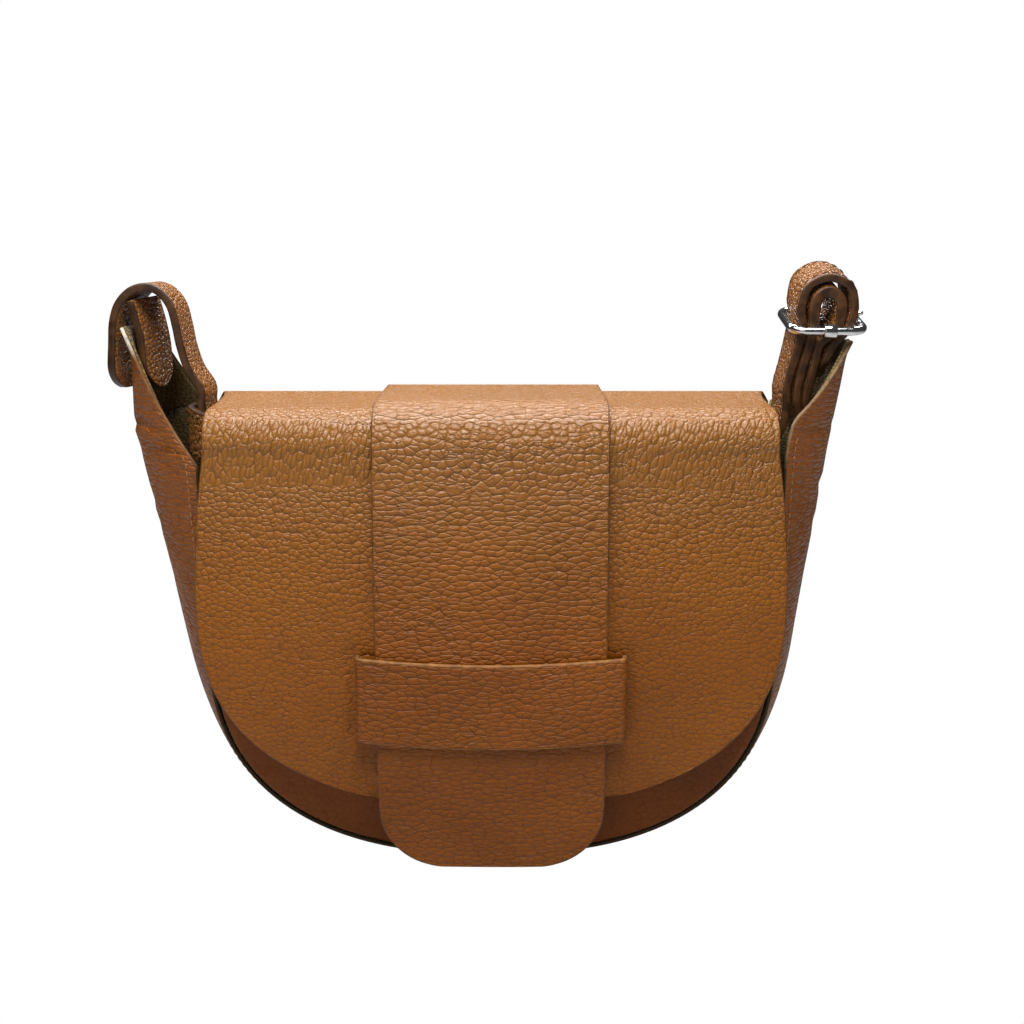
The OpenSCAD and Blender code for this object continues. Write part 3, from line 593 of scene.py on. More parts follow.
def meshPiece(name, verts, faces, materials, kinds=None, smooth=None, flat=None):
    # kinds are the faces' materials, flat holds each point's place on the flat leather
    mesh = bpy.data.meshes.new(name)
    mesh.from_pydata([tuple(v) for v in verts], [], faces)
    for material in materials:
        mesh.materials.append(material)
    mesh.polygons.foreach_set("material_index", kinds or [0] * len(faces))
    mesh.polygons.foreach_set("use_smooth", smooth or [True] * len(faces))
    if flat is not None:
        corners = np.zeros(len(mesh.loops), int)
        mesh.loops.foreach_get("vertex_index", corners)
        mesh.uv_layers.new(name="flat").data.foreach_set("uv", np.asarray(flat)[corners].ravel())
    mesh.validate()
    turnOutwards(mesh)
    mesh.update()
    return putInScene(name, mesh)


# Leather sheets: a grid of points on the outer face, given thickness and a rounded edge all round
sheetEdge = {"rounding": 0.35, "backPush": 0.9, "shoulderIn": 0.3, "shoulderDown": 0.1,
             "sideDown": (0.32, 0.68)}


def gridNormals(g):
    along, across = np.empty_like(g), np.empty_like(g)
    along[1:-1] = g[2:] - g[:-2]
    along[0], along[-1] = g[1] - g[0], g[-1] - g[-2]
    across[:, 1:-1] = g[:, 2:] - g[:, :-2]
    across[:, 0], across[:, -1] = g[:, 1] - g[:, 0], g[:, -1] - g[:, -2]
    return unit(np.cross(along, across))


def flatCoordinates(g, level):
    # Distances along and across the sheet, from its middle column. Between the two heights of level
    # the rows turn from the grid's own into level ones
    rows, cols = g.shape[:2]
    u = np.zeros((rows, cols))
    u[:, 1:] = np.cumsum(np.linalg.norm(g[:, 1:] - g[:, :-1], axis=2), axis=1)
    u -= u[:, cols // 2:cols // 2 + 1]
    v = np.zeros((rows, cols))
    steps = np.linalg.norm(g[1:, cols // 2] - g[:-1, cols // 2], axis=1)
    v[1:] = np.cumsum(steps)[:, None]
    if level is not None:
        middle = g[:, cols // 2:cols // 2 + 1]
        share = np.clip((middle[:, :, 2] - level[0]) / (level[1] - level[0]), 0, 1)
        v += share * np.sign(middle[:, :, 0]) * (g[:, :, 2] - middle[:, :, 2])
    return u * mm, v * mm


def atEach(rule, g):
    # A rule's value at every point of the grid
    return np.array([[rule(i, j, p) for j, p in enumerate(row)] for i, row in enumerate(g)])


def sheetFaces(rows, cols, loop, rims, square):
    # The outer side, the back and the rings between them, with their materials and shading
    total, count = rows * cols, len(loop)
    faces, kinds = [], []
    for i in range(rows - 1):
        for j in range(cols - 1):
            a, b, c, d = i * cols + j, i * cols + j + 1, (i + 1) * cols + j + 1, (i + 1) * cols + j
            faces += [(a, d, c, b), (total + a, total + b, total + c, total + d)]
            kinds += [0, 1]
    smooth = [True] * len(faces)
    rings = [[i * cols + j for i, j in loop]]
    rings += [[2 * total + k * count + q for q in range(count)] for k in range(rims)]
    rings.append([total + i * cols + j for i, j in loop])
    for a, b in zip(rings[:-1], rings[1:]):
        for q in range(count):
            w = (q + 1) % count
            faces.append((a[q], a[w], b[w], b[q]))
            kinds.append(2)
            smooth.append(not (square[q] and square[w]))
    return faces, kinds, smooth


def sheetPiece(name, grid, outer, inner, materials, relief=None, pull=None, origin=(0, 0), squareRow=None,
               level=None):
    # The materials are those of the outer side, the back and the edge; squareRow keeps a square edge
    g = np.asarray(grid, float)
    rows, cols = g.shape[:2]
    normals = gridNormals(g)
    push = np.zeros((rows, cols)) if relief is None else atEach(relief, g)
    top = g + normals * (outer + push)[:, :, None]
    back = g + normals * (inner + push * sheetEdge["backPush"])[:, :, None]
    loop = [(0, j) for j in range(cols)] + [(i, cols - 1) for i in range(1, rows)]
    loop += [(rows - 1, j) for j in range(cols - 2, -1, -1)] + [(i, 0) for i in range(rows - 2, 0, -1)]
    square = [p[0] == squareRow for p in loop]
    topRim, backRim, rimNormals = (np.array([side[p] for p in loop]) for side in (top, back, normals))
    out = unit(np.cross(rimNormals, unit(np.roll(topRim, -1, axis=0) - np.roll(topRim, 1, axis=0))))
    out *= np.where(square, 0, sheetEdge["rounding"] * (outer - inner))[:, None]
    for k, p in enumerate(loop):
        top[p] = topRim[k] - out[k]
        back[p] = backRim[k] - out[k]
    down = rimNormals * (outer - inner)
    shoulder = down * sheetEdge["shoulderDown"]
    rims = [topRim - out * sheetEdge["shoulderIn"] - shoulder]
    rims += [topRim - down * share for share in sheetEdge["sideDown"]]
    rims.append(backRim - out * sheetEdge["shoulderIn"] + shoulder)
    verts = np.concatenate([top.reshape(-1, 3), back.reshape(-1, 3)] + rims) * mm
    ids = [i * cols + j for i, j in loop]

    def onPoints(values):
        return np.concatenate([values.ravel()] * 2 + [values.ravel()[ids]] * len(rims))

    u, v = flatCoordinates(g, level)
    flat = np.stack([onPoints(u + origin[0] * mm), onPoints(v + origin[1] * mm)], axis=1)
    faces, kinds, smooth = sheetFaces(rows, cols, loop, len(rims), square)
    piece = meshPiece(name, verts, faces, materials, kinds, smooth, flat)
    if pull is not None:
        amount = onPoints(atEach(pull, g)).astype(np.float32)
        piece.data.attributes.new("pull", "FLOAT", "POINT").data.foreach_set("value", amount)
    return piece


def slow(p, size, seed):
    # Smooth noise from -1 to 1, with features of the given size in millimetres
    return noise.noise(Vector((p[0] / size + seed, p[1] / size, p[2] / size)))


# Body: back, front, gusset and their linings
bodyDetail = {"side": 16, "arc": 44, "cols": 60, "wingSteps": 22, "gussetCols": 26, "gussetLiningCols": 20}
liningDetail = {"side": 12, "arc": 30, "cols": 40}
panelLook = {"swellSize": 38, "fineSize": 14, "fineShare": 0.35, "front": 0.35, "back": 0.25}
wrinkles = {
    "heights": (176, 168, 160.5, 153, 146.5, 138, 129, 117), "depth": 1.0, "width": 1.5, "shift": 1.3,
    "wave": 3.2, "waveSize": 17, "least": 0.55, "swell": 0.35, "swellSize": 30, "seed": 40, "fade": 2.5,
    "turn": (5.1, 2, 6),
}
bodySheet = (bodyLeather, khakiFlesh, flapEdge)
flapSheet = (flapLeather, khakiFlesh, flapEdge)
liningSheet = (oliveLining,) * 3


def noPull(i, j, p):
    return 0


def panelRelief(seed, amount):
    def relief(i, j, p):
        fine = panelLook["fineShare"] * slow(p, panelLook["fineSize"], seed + 5)
        return amount * (slow(p, panelLook["swellSize"], seed) + fine)
    return relief


frontPanel = sheetPiece("frontPanel", frontGrid(bodyDetail["side"], bodyDetail["arc"], bodyDetail["cols"]), 0,
                        -bag["leather"], bodySheet, panelRelief(3, panelLook["front"]))
backPanel = sheetPiece("backPanel",
                       backGrid(bodyDetail["side"], bodyDetail["arc"], bodyDetail["cols"], bag["gap"] / 6), 0,
                       -bag["leather"], flapSheet, panelRelief(11, panelLook["back"]), noPull,
                       squareRow=bodyDetail["side"] + bodyDetail["arc"])
gussetLines = gussetRows(bodyDetail["wingSteps"], bodyDetail["side"], bodyDetail["arc"])


def gussetRelief(i, j, p):
    # Creases run across the gusset where the wings fold inwards above the seams
    v = j / bodyDetail["gussetCols"]
    middle = math.sin(math.pi * v)
    push = wrinkles["swell"] * slow(p, wrinkles["swellSize"], 21) * middle
    side = 1 if p[0] > 0 else 2
    for k, height in enumerate(wrinkles["heights"]):
        z = height + side * wrinkles["shift"]
        z += wrinkles["wave"] * slow((p[0], p[1], 0), wrinkles["waveSize"], wrinkles["seed"] + k * 7 + side)
        strength = mix(math.sin(np.dot(wrinkles["turn"], (k, side, v))), 1, wrinkles["least"])
        crease = wrinkles["depth"] * strength * bump(p[2], z, wrinkles["width"])
        push -= crease * smoothStep(middle * wrinkles["fade"])
    return push if p[2] > 1 else 0


def gussetGrid(edges, cols):
    # The share of the strip's width that is left free at each edge changes from row to row
    return [[across(row, v) for v in np.linspace(edge, 1 - edge, cols + 1)]
            for row, edge in zip(gussetLines, edges)]


def liningEdge(row):
    # The lining stops short of the seams and runs nearly to the wings' cut edges
    edge = (liningIn + 2 * bag["gap"]) / (2 * bag["seamY"])
    return mix(edge, 0.6 * edge, smoothStep((row[3] - 1) * 4))


gusset = sheetPiece("gusset", gussetGrid([0] * len(gussetLines), bodyDetail["gussetCols"]), 0,
                    -bag["leather"], (gussetLeather, khakiFlesh, gussetEdge), gussetRelief, level=(90, 160))
liningEdges = [liningEdge(row) for row in gussetLines]
gussetLining = sheetPiece("gussetLining", gussetGrid(liningEdges, bodyDetail["gussetLiningCols"]),
                          -liningOut + bag["glue"] / 2, -liningIn, liningSheet)
frontLining = sheetPiece("frontLining", frontGrid(*liningDetail.values()), -liningOut, -liningIn, liningSheet)
backLining = sheetPiece("backLining", backGrid(*liningDetail.values(), bag["leather"] + 1.5 * bag["gap"]),
                        -liningOut, -liningIn, liningSheet)

pocket = {"width": 120, "low": 66, "high": 138, "rows": 24, "cols": 32}


def pocketGrid():
    half = bag["seamHalf"] - seamInset
    rows = []
    for z in np.linspace(pocket["low"], pocket["high"], pocket["rows"] + 1):
        k = (z - bag["seamLift"]) / (bag["hingeH"] - bag["seamLift"])
        places = np.linspace(-pocket["width"] / 2, pocket["width"] / 2, pocket["cols"] + 1)
        rows.append([(x, backY(x / half, k), z) for x in places])
    return rows


pocketOut = liningIn + bag["gap"]
innerPocket = sheetPiece("innerPocket", pocketGrid(), -pocketOut, -pocketOut - bag["lining"], liningSheet)
for piece, node in ((frontPanel, "front_panel"), (backPanel, "back_panel"), (gusset, "gusset"),
                    (gussetLining, "gusset_lining"), (frontLining, "front_lining"),
                    (backLining, "back_lining"), (innerPocket, "inner_pocket")):
    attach(piece, "bag")
    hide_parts(node)
print("body built")

# Flap with its lining, the band over it and the keeper loop
flapDetail = {"turn": 8, "top": 18, "roll": 16, "drop": 28, "arc": 44, "cols": 150, "liningCols": 76}
flapRows = topRows(flapDetail["turn"], flapDetail["top"], flapDetail["roll"])
frontRows = [frontRow(z) for z in dropLevels(flapDetail["drop"], flapDetail["arc"])]
keeperTop = keeper["low"] + keeper["height"]
flapLook = {"swell": 0.5, "swellSize": 46, "fine": 0.16, "fineSize": 13, "fade": 20, "lining": 0.8}
grooves = {"offset": 3.2, "wave": 0.8, "waveSize": 16, "width": 3.4, "depth": 1.0, "least": 0.55,
           "deepFrom": 50, "deepFade": 60}
puckers = {"out": 1.6, "width": 2.4, "depth": 1.1, "over": 6, "fade": 8, "run": 36, "runFade": 26}
# Folds that spread out below the keeper's ends: depth, start, spread and width of each
puckerFolds = ((0.7, -5, 0.14, 2.2), (0.4, 1, 0.34, 2.0))


def frontShare(z):
    # Nothing on the roll, all of it lower down
    return smoothStep((rollZ - z) / flapLook["fade"])


def flapRelief(i, j, p):
    # The leather dips beside the band and puckers round the keeper's ends
    x, z = abs(p[0]), p[2]
    side = 1 if p[0] > 0 else -1
    swell = flapLook["swell"] * slow(p, flapLook["swellSize"], 2)
    push = swell + flapLook["fine"] * slow(p, flapLook["fineSize"], 8)
    line = band["width"] / 2 + grooves["offset"]
    line += grooves["wave"] * slow((side * 9, 0, z), grooves["waveSize"], 31)
    deeper = mix(grooves["least"], 1, smoothStep((keeperTop + grooves["deepFrom"] - z) / grooves["deepFade"]))
    push -= grooves["depth"] * deeper * bump(x, line, grooves["width"])
    push *= frontShare(z)
    ends = keeper["width"] / 2 + puckers["out"]
    inKeeper = smoothStep((z - keeper["low"] + puckers["over"]) / puckers["fade"])
    inKeeper *= smoothStep((keeperTop + puckers["over"] - z) / puckers["fade"])
    push -= puckers["depth"] * bump(x, ends, puckers["width"]) * inKeeper
    drop = keeper["low"] - z
    below = smoothStep(drop / puckers["over"]) * smoothStep((puckers["run"] - drop) / puckers["runFade"])
    for depth, start, spread, width in puckerFolds:
        push -= depth * bump(x, ends + start + drop * spread, width) * below
    return push


pulled = {"from": 149, "fade": 20, "wave": 7, "waveSize": 9, "over": 15, "overFade": 6}


def rollPull(i, j, p):
    # How far the grain is drawn out tall, below the roll
    if p[1] >= 0:
        return 0
    z = p[2] + pulled["wave"] * slow(p, pulled["waveSize"], 3)
    over = smoothStep((rollZ + pulled["over"] - p[2]) / pulled["overFade"])
    return smoothStep((z - pulled["from"]) / pulled["fade"]) * over


def flapGrid(rows, cols, margin):
    return [[facePoint(row, (row[4] - margin) * u, 0) for u in np.linspace(-1, 1, cols + 1)] for row in rows]


flapPiece = sheetPiece("flap", flapGrid(flapRows + frontRows, flapDetail["cols"], 0), 0, -bag["leather"],
                       flapSheet, flapRelief, rollPull, origin=(0, 40), squareRow=0)
flapLining = sheetPiece("flapLining",
                        flapGrid((flapRows + frontRows)[3::2], flapDetail["liningCols"], bag["gap"] * 2),
                        -liningOut - bag["gap"], -liningIn - bag["gap"], liningSheet,
                        lambda i, j, p: flapLook["lining"] * flapRelief(i, j, p))

bandDetail = {"cols": 56, "tongue": 26, "backingIn": 0.2}
bandLook = {"swell": 0.3, "swellSize": 30, "creases": 7, "pitch": 4.2, "wave": 2.0, "waveSize": 21,
            "depth": 0.32, "width": 1.1, "reach": 34, "fade": 26}
bandLining = bag["gap"] + bag["lining"]
bandLift = bandLining + bag["glue"]
tongueShares = [math.sin(math.pi / 2 * i / bandDetail["tongue"]) for i in range(1, bandDetail["tongue"] + 1)]
bandRows = flapRows[flapDetail["turn"]:] + frontRows
bandRows += [frontRow(mix(flap["low"], band["low"], share)) for share in tongueShares]


def bandGrid(lift, margin):
    rows = []
    for row in bandRows:
        half = (band["width"] / 2 if row[3] > 0.5 else bandHalf(row[1])) - margin
        rows.append([facePoint(row, half * u, lift) for u in np.linspace(-1, 1, bandDetail["cols"] + 1)])
    return rows


def bandRelief(i, j, p):
    # Horizontal creases gather above the keeper and spread out over the tongue
    z, x = p[2], p[0]
    push = bandLook["swell"] * slow(p, bandLook["swellSize"], 17) * frontShare(z)
    above = smoothStep((keeperTop + bandLook["reach"] - z) / bandLook["fade"])
    above *= smoothStep((z - keeperTop + 1) / 3)
    for k in range(bandLook["creases"]):
        height = keeperTop - 1 + bandLook["pitch"] * k
        height += bandLook["wave"] * slow((x, 3, 0), bandLook["waveSize"], 50 + 9 * k)
        strength = bandLook["depth"] * (0.5 + 0.5 * math.sin(0.09 * x + 2.3 * k))
        push -= strength * bump(z, height, bandLook["width"]) * above
    return push


bandPiece = sheetPiece("flapBand", bandGrid(bandLift + band["leather"], 0), 0, -band["leather"],
                       (bandLeather, khakiFlesh, flapEdge), bandRelief, rollPull, origin=(31, 90))
bandBacking = sheetPiece("bandBacking", bandGrid(bandLining, bandDetail["backingIn"]), 0, -bag["lining"],
                         (flapEdge, khakiFlesh, flapEdge))

keeperLift = bandLift + band["leather"] + bag["gap"]
keeperDetail = {"corner": 8, "cols": 50, "rows": 22, "swell": 0.12}


def keeperGrid():
    half, r = keeper["width"] / 2, keeper["corner"]
    height = keeperLift + keeper["leather"]
    side = [(half, bag["gap"])]
    for i in range(keeperDetail["corner"] + 1):
        a = math.pi / 2 * i / keeperDetail["corner"]
        side.append((half - r * (1 - math.cos(a)), height - r * (1 - math.sin(a))))
    flatPart = [(x, height) for x in np.linspace(-(half - r), half - r, keeperDetail["cols"])[1:-1]]
    path = [(-x, lift) for x, lift in side] + flatPart + side[::-1]
    rows = []
    for z in np.linspace(keeperTop, keeper["low"], keeperDetail["rows"] + 1):
        rows.append([facePoint(frontRow(z - keeper["sag"] * (1 - (2 * x / keeper["width"]) ** 2)), x, lift)
                     for x, lift in path])
    return rows


keeperPiece = sheetPiece("keeperLoop", keeperGrid(), 0, -keeper["leather"],
                         (bandLeather, khakiFlesh, cutEdge),
                         lambda i, j, p: keeperDetail["swell"] * slow(p, 16, 60), noPull, origin=(77, 13))
for piece, nodes, finish in ((flapPiece, ["flap"], "flap_leather"),
                             (flapLining, ["flap_lining"], "olive_lining"),
                             (bandPiece, ["flap_band"], "flap_leather"),
                             (bandBacking, ["band_lining"], "edge_paint"),
                             (keeperPiece, ["keeper_loop"], "flap_leather")):
    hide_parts(*nodes)
for piece in (flapPiece, flapLining):
    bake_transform(piece)
for piece in (bandPiece, bandBacking, keeperPiece):
    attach(piece, "flap")
print("flap built")

# Strap and tabs: given routes, in strap widths from the left tip and from the buckle
leftAnchor = tipMid(-1)
buckleAt = tipMid(1) + strap["width"] * np.array([-0.5, 0, 0.375])
leftLoop = [(-0.255, 0, -1.175), (-0.245, 0, -0.75), (-0.2, 0, -0.3), (-0.155, 0, 0.1),
            (-0.06, 0, 0.45), (0.15, 0, 0.7), (0.41, 0, 0.79), (0.67, 0, 0.69), (0.86, 0, 0.425),
            (0.945, 0, 0.05), (1.005, 0, -0.35), (1.135, 0, -0.8), (1.35, 0, -1.175)]
slack = [(-1.02, 0, 1.014), (-1.005, 0, 0.975), (-0.955, 0, 0.934), (-0.86, 0.02, 0.912),
         (-0.715, 0.07, 0.905), (-0.57, 0.18, 0.902), (-0.43, 0.3, 0.902), (-0.27, 0.43, 0.902),
         (0, 0.53, 0.902), (0.34, 0.55, 0.902), (0.5, 0.5, 0.902), (0.615, 0.32, 0.902),
         (0.66, -0.07, 0.902), (0.615, -0.46, 0.902), (0.5, -0.65, 0.902), (0.18, -0.7, 0.902),
         (-0.36, -0.7, 0.907), (-0.76, -0.7, 0.92), (-0.92, -0.61, 0.937), (-1.027, -0.38, 0.95),
         (-1.076, -0.02, 0.956), (-1.045, 0.37, 0.95), (-0.946, 0.63, 0.937), (-0.76, 0.727, 0.92),
         (-0.27, 0.735, 0.904), (0.18, 0.74, 0.902), (0.48, 0.727, 0.9), (0.625, 0.65, 0.896),
         (0.76, 0.48, 0.893), (0.88, 0.25, 0.896), (0.97, 0.065, 0.92), (1.02, 0, 0.962), (1.035, 0, 1.008)]
rightLoop = [(-0.72, 0, -1.275), (-0.62, 0, -0.825), (-0.535, 0, -0.425), (-0.475, 0, -0.025),
             (-0.51, 0, 0.375), (-0.39, 0, 0.775), (0, 0, 0.955), (0.39, 0, 0.775), (0.5, 0, 0.375),
             (0.405, 0, 0), (0.15, 0, -0.35), (0, 0, -0.725), (-0.06, 0, -1.1)]
leftTab = [(0.2, 0, 0.56), (0.305, 0, 0.1), (0.365, 0, -0.3), (0.385, 0, -0.75), (0.43, 0, -1.175)]
buckleTab = [(-0.305, 0, -2.375), (-0.44, 0, -1.875), (-0.515, 0, -1.475), (-0.475, 0, -1.1),
             (-0.415, 0, -0.725), (-0.335, 0, -0.35), (-0.285, 0, 0), (-0.285, 0, 0.375), (-0.2, 0, 0.6),
             (0, 0, 0.715), (0.2, 0, 0.6), (0.275, 0, 0.375), (0.195, 0, 0), (-0.115, 0, -0.35),
             (-0.19, 0, -0.725), (-0.255, 0, -1.1), (-0.33, 0, -1.5), (-0.26, 0, -1.875), (-0.12, 0, -2.375)]
leanAngle = math.radians(buckle["lean"])
tipAcross = np.array([0.26, 0.966, 0])
flatAcross = np.array([0, 1, 0])
upright = np.array([0, 0, 1])
leanAcross = np.array([0, math.cos(leanAngle), math.sin(leanAngle)])


def strapRoute():
    places = [leftAnchor + strap["width"] * np.array(s) for s in leftLoop]
    places += [np.array([s[0] * bag["seamHalf"], s[1] * bag["seamY"], s[2] * bag["hingeH"]]) for s in slack]
    places += [buckleAt + strap["width"] * np.array(s) for s in rightLoop]
    widths = [tipAcross] * 4 + [mix(tipAcross, flatAcross, i / 3) for i in (1, 2, 3)] + [flatAcross] * 10
    widths += [mix(flatAcross, upright, i / 4) for i in (1, 2, 3)] + [upright] * 20
    widths += [mix(upright, flatAcross, i / 4) for i in (1, 2, 3)] + [flatAcross] * 5
    widths += [mix(flatAcross, leanAcross, 0.5)] + [leanAcross] * 8
    widths += [mix(leanAcross, flatAcross, 0.5), flatAcross]
    return places, widths


def smoothPath(points, cuts):
    v = [np.array(p, float) for p in points]
    out = []
    for i in range(len(v) - 1):
        a, b, c, d = v[max(0, i - 1)], v[i], v[i + 1], v[min(len(v) - 1, i + 2)]
        for k in range(cuts):
            t = k / cuts
            out.append(0.5 * (2 * b + (c - a) * t + (2 * a - 5 * b + 4 * c - d) * t * t
                              + (3 * b - a - 3 * c + d) * t ** 3))
    return np.array(out + [v[-1]])


strapDetail = {"cuts": 8, "across": 12, "edge": 3, "endLeast": 0.22, "wave": 0.06, "waveSize": 9}
tabSwell = {"by": 1.6, "at": 64, "reach": 20}  # fills the buckle tab's loop, so that no light shows through


def strapSection():
    # Flat painted edges between small rounded corners: (across, up) points and their materials
    h, t, r = strap["width"] / 2, strap["leather"] / 2, strap["corner"]
    n, rim = strapDetail["across"], strapDetail["edge"]
    points, kinds = [], []
    for turn in (1, -1):
        points += [(x, turn * t) for x in np.linspace(turn * (h - r), -turn * (h - r), n)]
        kinds += [0] * (n - 1)
        for up in (1, -1):
            for i in range(rim):
                a = math.pi / 2 * (i + (up > 0)) / rim
                side, rise = (math.sin(a), math.cos(a)) if up > 0 else (math.cos(a), math.sin(a))
                points.append((-turn * (h - r + r * side), turn * up * (t - r + r * rise)))
        kinds += [1] * (2 * rim + 1)
    return points, kinds


def strapFrame(places, widths):
    # Places along the strap, with the ways across it and up from it
    p = smoothPath(places, strapDetail["cuts"])
    w = smoothPath(widths, strapDetail["cuts"])
    ahead = np.empty_like(p)
    ahead[1:-1] = p[2:] - p[:-2]
    ahead[0], ahead[-1] = p[1] - p[0], p[-1] - p[-2]
    ahead = unit(ahead)
    side = unit(w - np.sum(w * ahead, axis=1, keepdims=True) * ahead)
    return p, side, np.cross(ahead, side)


def strapPiece(name, places, widths, roundFirst=True, swell=None):
    p, side, up = strapFrame(places, widths)
    along = np.concatenate([[0], np.cumsum(np.linalg.norm(p[1:] - p[:-1], axis=1))])
    section, kinds = strapSection()
    k = len(section)
    h = strap["width"] / 2
    verts, flat = [], []
    for i in range(len(p)):
        s = 1
        for here, wanted in ((along[i], roundFirst), (along[-1] - along[i], True)):
            if wanted and here < h:
                s = min(s, max(strapDetail["endLeast"], math.sqrt(1 - (1 - here / h) ** 2)))
        for x, t in section:
            if swell is not None and t < 0:
                t -= swell["by"] * bump(along[i], swell["at"], swell["reach"])
            t += strapDetail["wave"] * slow(p[i] + side[i] * x, strapDetail["waveSize"], 70)
            verts.append((p[i] + side[i] * x * s + up[i] * t) * mm)
            flat.append((x * mm, along[i] * mm))
    faces = []
    for i in range(len(p) - 1):
        for j in range(k):
            w = (j + 1) % k
            faces.append((i * k + w, i * k + j, (i + 1) * k + j, (i + 1) * k + w))
    faces += [tuple(range(k)), tuple(range(len(p) * k - 1, (len(p) - 1) * k - 1, -1))]
    kinds = kinds * (len(p) - 1) + [1, 1]
    smooth = [True] * (len(faces) - 2) + [False] * 2
    return meshPiece(name, verts, faces, (strapLeather, strapEdge), kinds, smooth, flat)


strapPlaces, strapWidths = strapRoute()
leftTabPlaces = [leftAnchor + strap["width"] * np.array(s) for s in leftTab]
tabPlaces = [buckleAt + strap["width"] * np.array(s) for s in buckleTab]
tabWidths = [flatAcross] * 4 + [mix(flatAcross, leanAcross, 0.5)] + [leanAcross] * 9
tabWidths += [mix(leanAcross, flatAcross, 0.5)] + [flatAcross] * 4
shoulderStrap = strapPiece("shoulderStrap", strapPlaces, strapWidths)
leftAnchorTab = strapPiece("leftAnchorTab", leftTabPlaces, [tipAcross] * len(leftTab), roundFirst=False)
buckleTabPiece = strapPiece("buckleTab", tabPlaces, tabWidths, swell=tabSwell)
print("strap built")


# Buckle: round wire, a centre bar with collars that wrap the rails, and a prong
tubeSides = {"wire": 20, "prong": 16, "ring": 28, "corner": 8, "dome": 5}
chamfer = {"collar": 0.45, "collarMid": 0.13, "knuckle": 0.2}


def inBuckle(p):
    x, y, z = p
    c, s = math.cos(leanAngle), math.sin(leanAngle)
    return (np.array([x, y * c - z * s, y * s + z * c]) + buckleAt) * mm


def tubePiece(name, path, radius, closed=False, sides=tubeSides["wire"], ends=0):
    # A round tube along a path, with domed ends where it is open
    p = [np.array(q, float) for q in path]
    radii = [radius] * len(p)
    if not closed and ends:
        first, last = p[0], p[-1]
        a, b = unit(first - p[1]), unit(last - p[-2])
        dome = [(math.sin(t), math.cos(t)) for t in np.linspace(0.15, math.pi / 2 - 0.08, ends)]
        p = [first + a * radius * s for s, _ in dome[::-1]] + p + [last + b * radius * s for s, _ in dome]
        radii = [radius * c for _, c in dome[::-1]] + radii + [radius * c for _, c in dome]
    verts, faces = [], []
    count = len(p)
    for i in range(count):
        before = p[(i - 1) % count] if closed else p[max(0, i - 1)]
        after = p[(i + 1) % count] if closed else p[min(count - 1, i + 1)]
        ahead = unit(after - before)
        helper = np.array([0, 0, 1]) if abs(ahead[2]) < 0.9 else np.array([0, 1, 0])
        side = unit(np.cross(helper, ahead))
        up = np.cross(ahead, side)
        for j in range(sides):
            t = 2 * math.pi * j / sides
            verts.append(inBuckle(p[i] + (side * math.cos(t) + up * math.sin(t)) * radii[i]))
    for i in range(count if closed else count - 1):
        for j in range(sides):
            a, b = i * sides + j, i * sides + (j + 1) % sides
            c, d = ((i + 1) % count) * sides + (j + 1) % sides, ((i + 1) % count) * sides + j
            faces.append((a, b, c, d))
    if not closed:
        faces += [tuple(range(sides - 1, -1, -1)), tuple(range((count - 1) * sides, count * sides))]
    return meshPiece(name, verts, faces, [silver])


def ringPiece(name, profile, place):
    # A profile of (along, radius) points, turned about the local X
    verts, faces = [], []
    count, sides = len(profile), tubeSides["ring"]
    for a, r in profile:
        for j in range(sides):
            t = 2 * math.pi * j / sides
            verts.append(place((a, r * math.cos(t), r * math.sin(t))))
    for i in range(count):
        for j in range(sides):
            w, k = (j + 1) % sides, (i + 1) % count
            faces.append((i * sides + j, i * sides + w, k * sides + w, k * sides + j))
    return meshPiece(name, verts, faces, [silver])


def joined(name, pieces):
    # One mesh of several closed shells
    data = bmesh.new()
    for piece in pieces:
        data.from_mesh(piece.data)
        bpy.data.objects.remove(piece)
    mesh = bpy.data.meshes.new(name)
    data.to_mesh(mesh)
    data.free()
    mesh.materials.append(silver)
    mesh.polygons.foreach_set("use_smooth", [True] * len(mesh.polygons))
    return putInScene(name, mesh)


railY = buckle["depth"] / 2 - buckle["wire"]
endX = buckle["width"] / 2 - buckle["wire"]


def framePath():
    r = buckle["corner"]
    path = []
    for k, (sx, sy) in enumerate(((1, 1), (-1, 1), (-1, -1), (1, -1))):
        for i in range(tubeSides["corner"] + 1):
            a = math.pi / 2 * (k + i / tubeSides["corner"])
            path.append((sx * (endX - r) + r * math.cos(a), sy * (railY - r) + r * math.sin(a), 0))
    return path


def collarProfile():
    half, out = buckle["collarWidth"] / 2, buckle["wire"] + buckle["collar"]
    inner = buckle["wire"] + buckle["fit"]
    edge, cut = chamfer["collar"], chamfer["collarMid"]
    return [(-half, inner), (-half, out - edge), (-half + cut, out - cut), (-half + edge, out),
            (half - edge, out), (half - cut, out - cut), (half, out - edge), (half, inner)]


def collarPlace(s):
    return lambda p: inBuckle((p[0], p[1] + s * railY, p[2]))


buckleFrame = tubePiece("buckleFrame", framePath(), buckle["wire"], closed=True)
barEnd = railY - buckle["wire"] - buckle["collar"] / 2
bar = tubePiece("bar", [(0, -barEnd, 0), (0, 0, 0), (0, barEnd, 0)], buckle["bar"])
collars = [ringPiece("collar", collarProfile(), collarPlace(s)) for s in (-1, 1)]
buckleBar = joined("buckleBar", [bar] + collars)
prongLift = math.asin((buckle["wire"] + buckle["prong"] + buckle["rest"]) / endX)


def prongPath():
    start = buckle["bar"] + buckle["knuckle"] * 0.6
    reach = np.linspace(start, endX + buckle["over"], 8)
    return [(math.cos(prongLift) * r, 0, math.sin(prongLift) * r) for r in reach]


def knuckleProfile():
    half, cut = buckle["knuckleWidth"] / 2, chamfer["knuckle"]
    inner, out = buckle["bar"] + buckle["barFit"], buckle["bar"] + buckle["knuckle"]
    return [(-half, inner), (-half, out - cut), (-half + cut, out), (half - cut, out), (half, out - cut),
            (half, inner)]


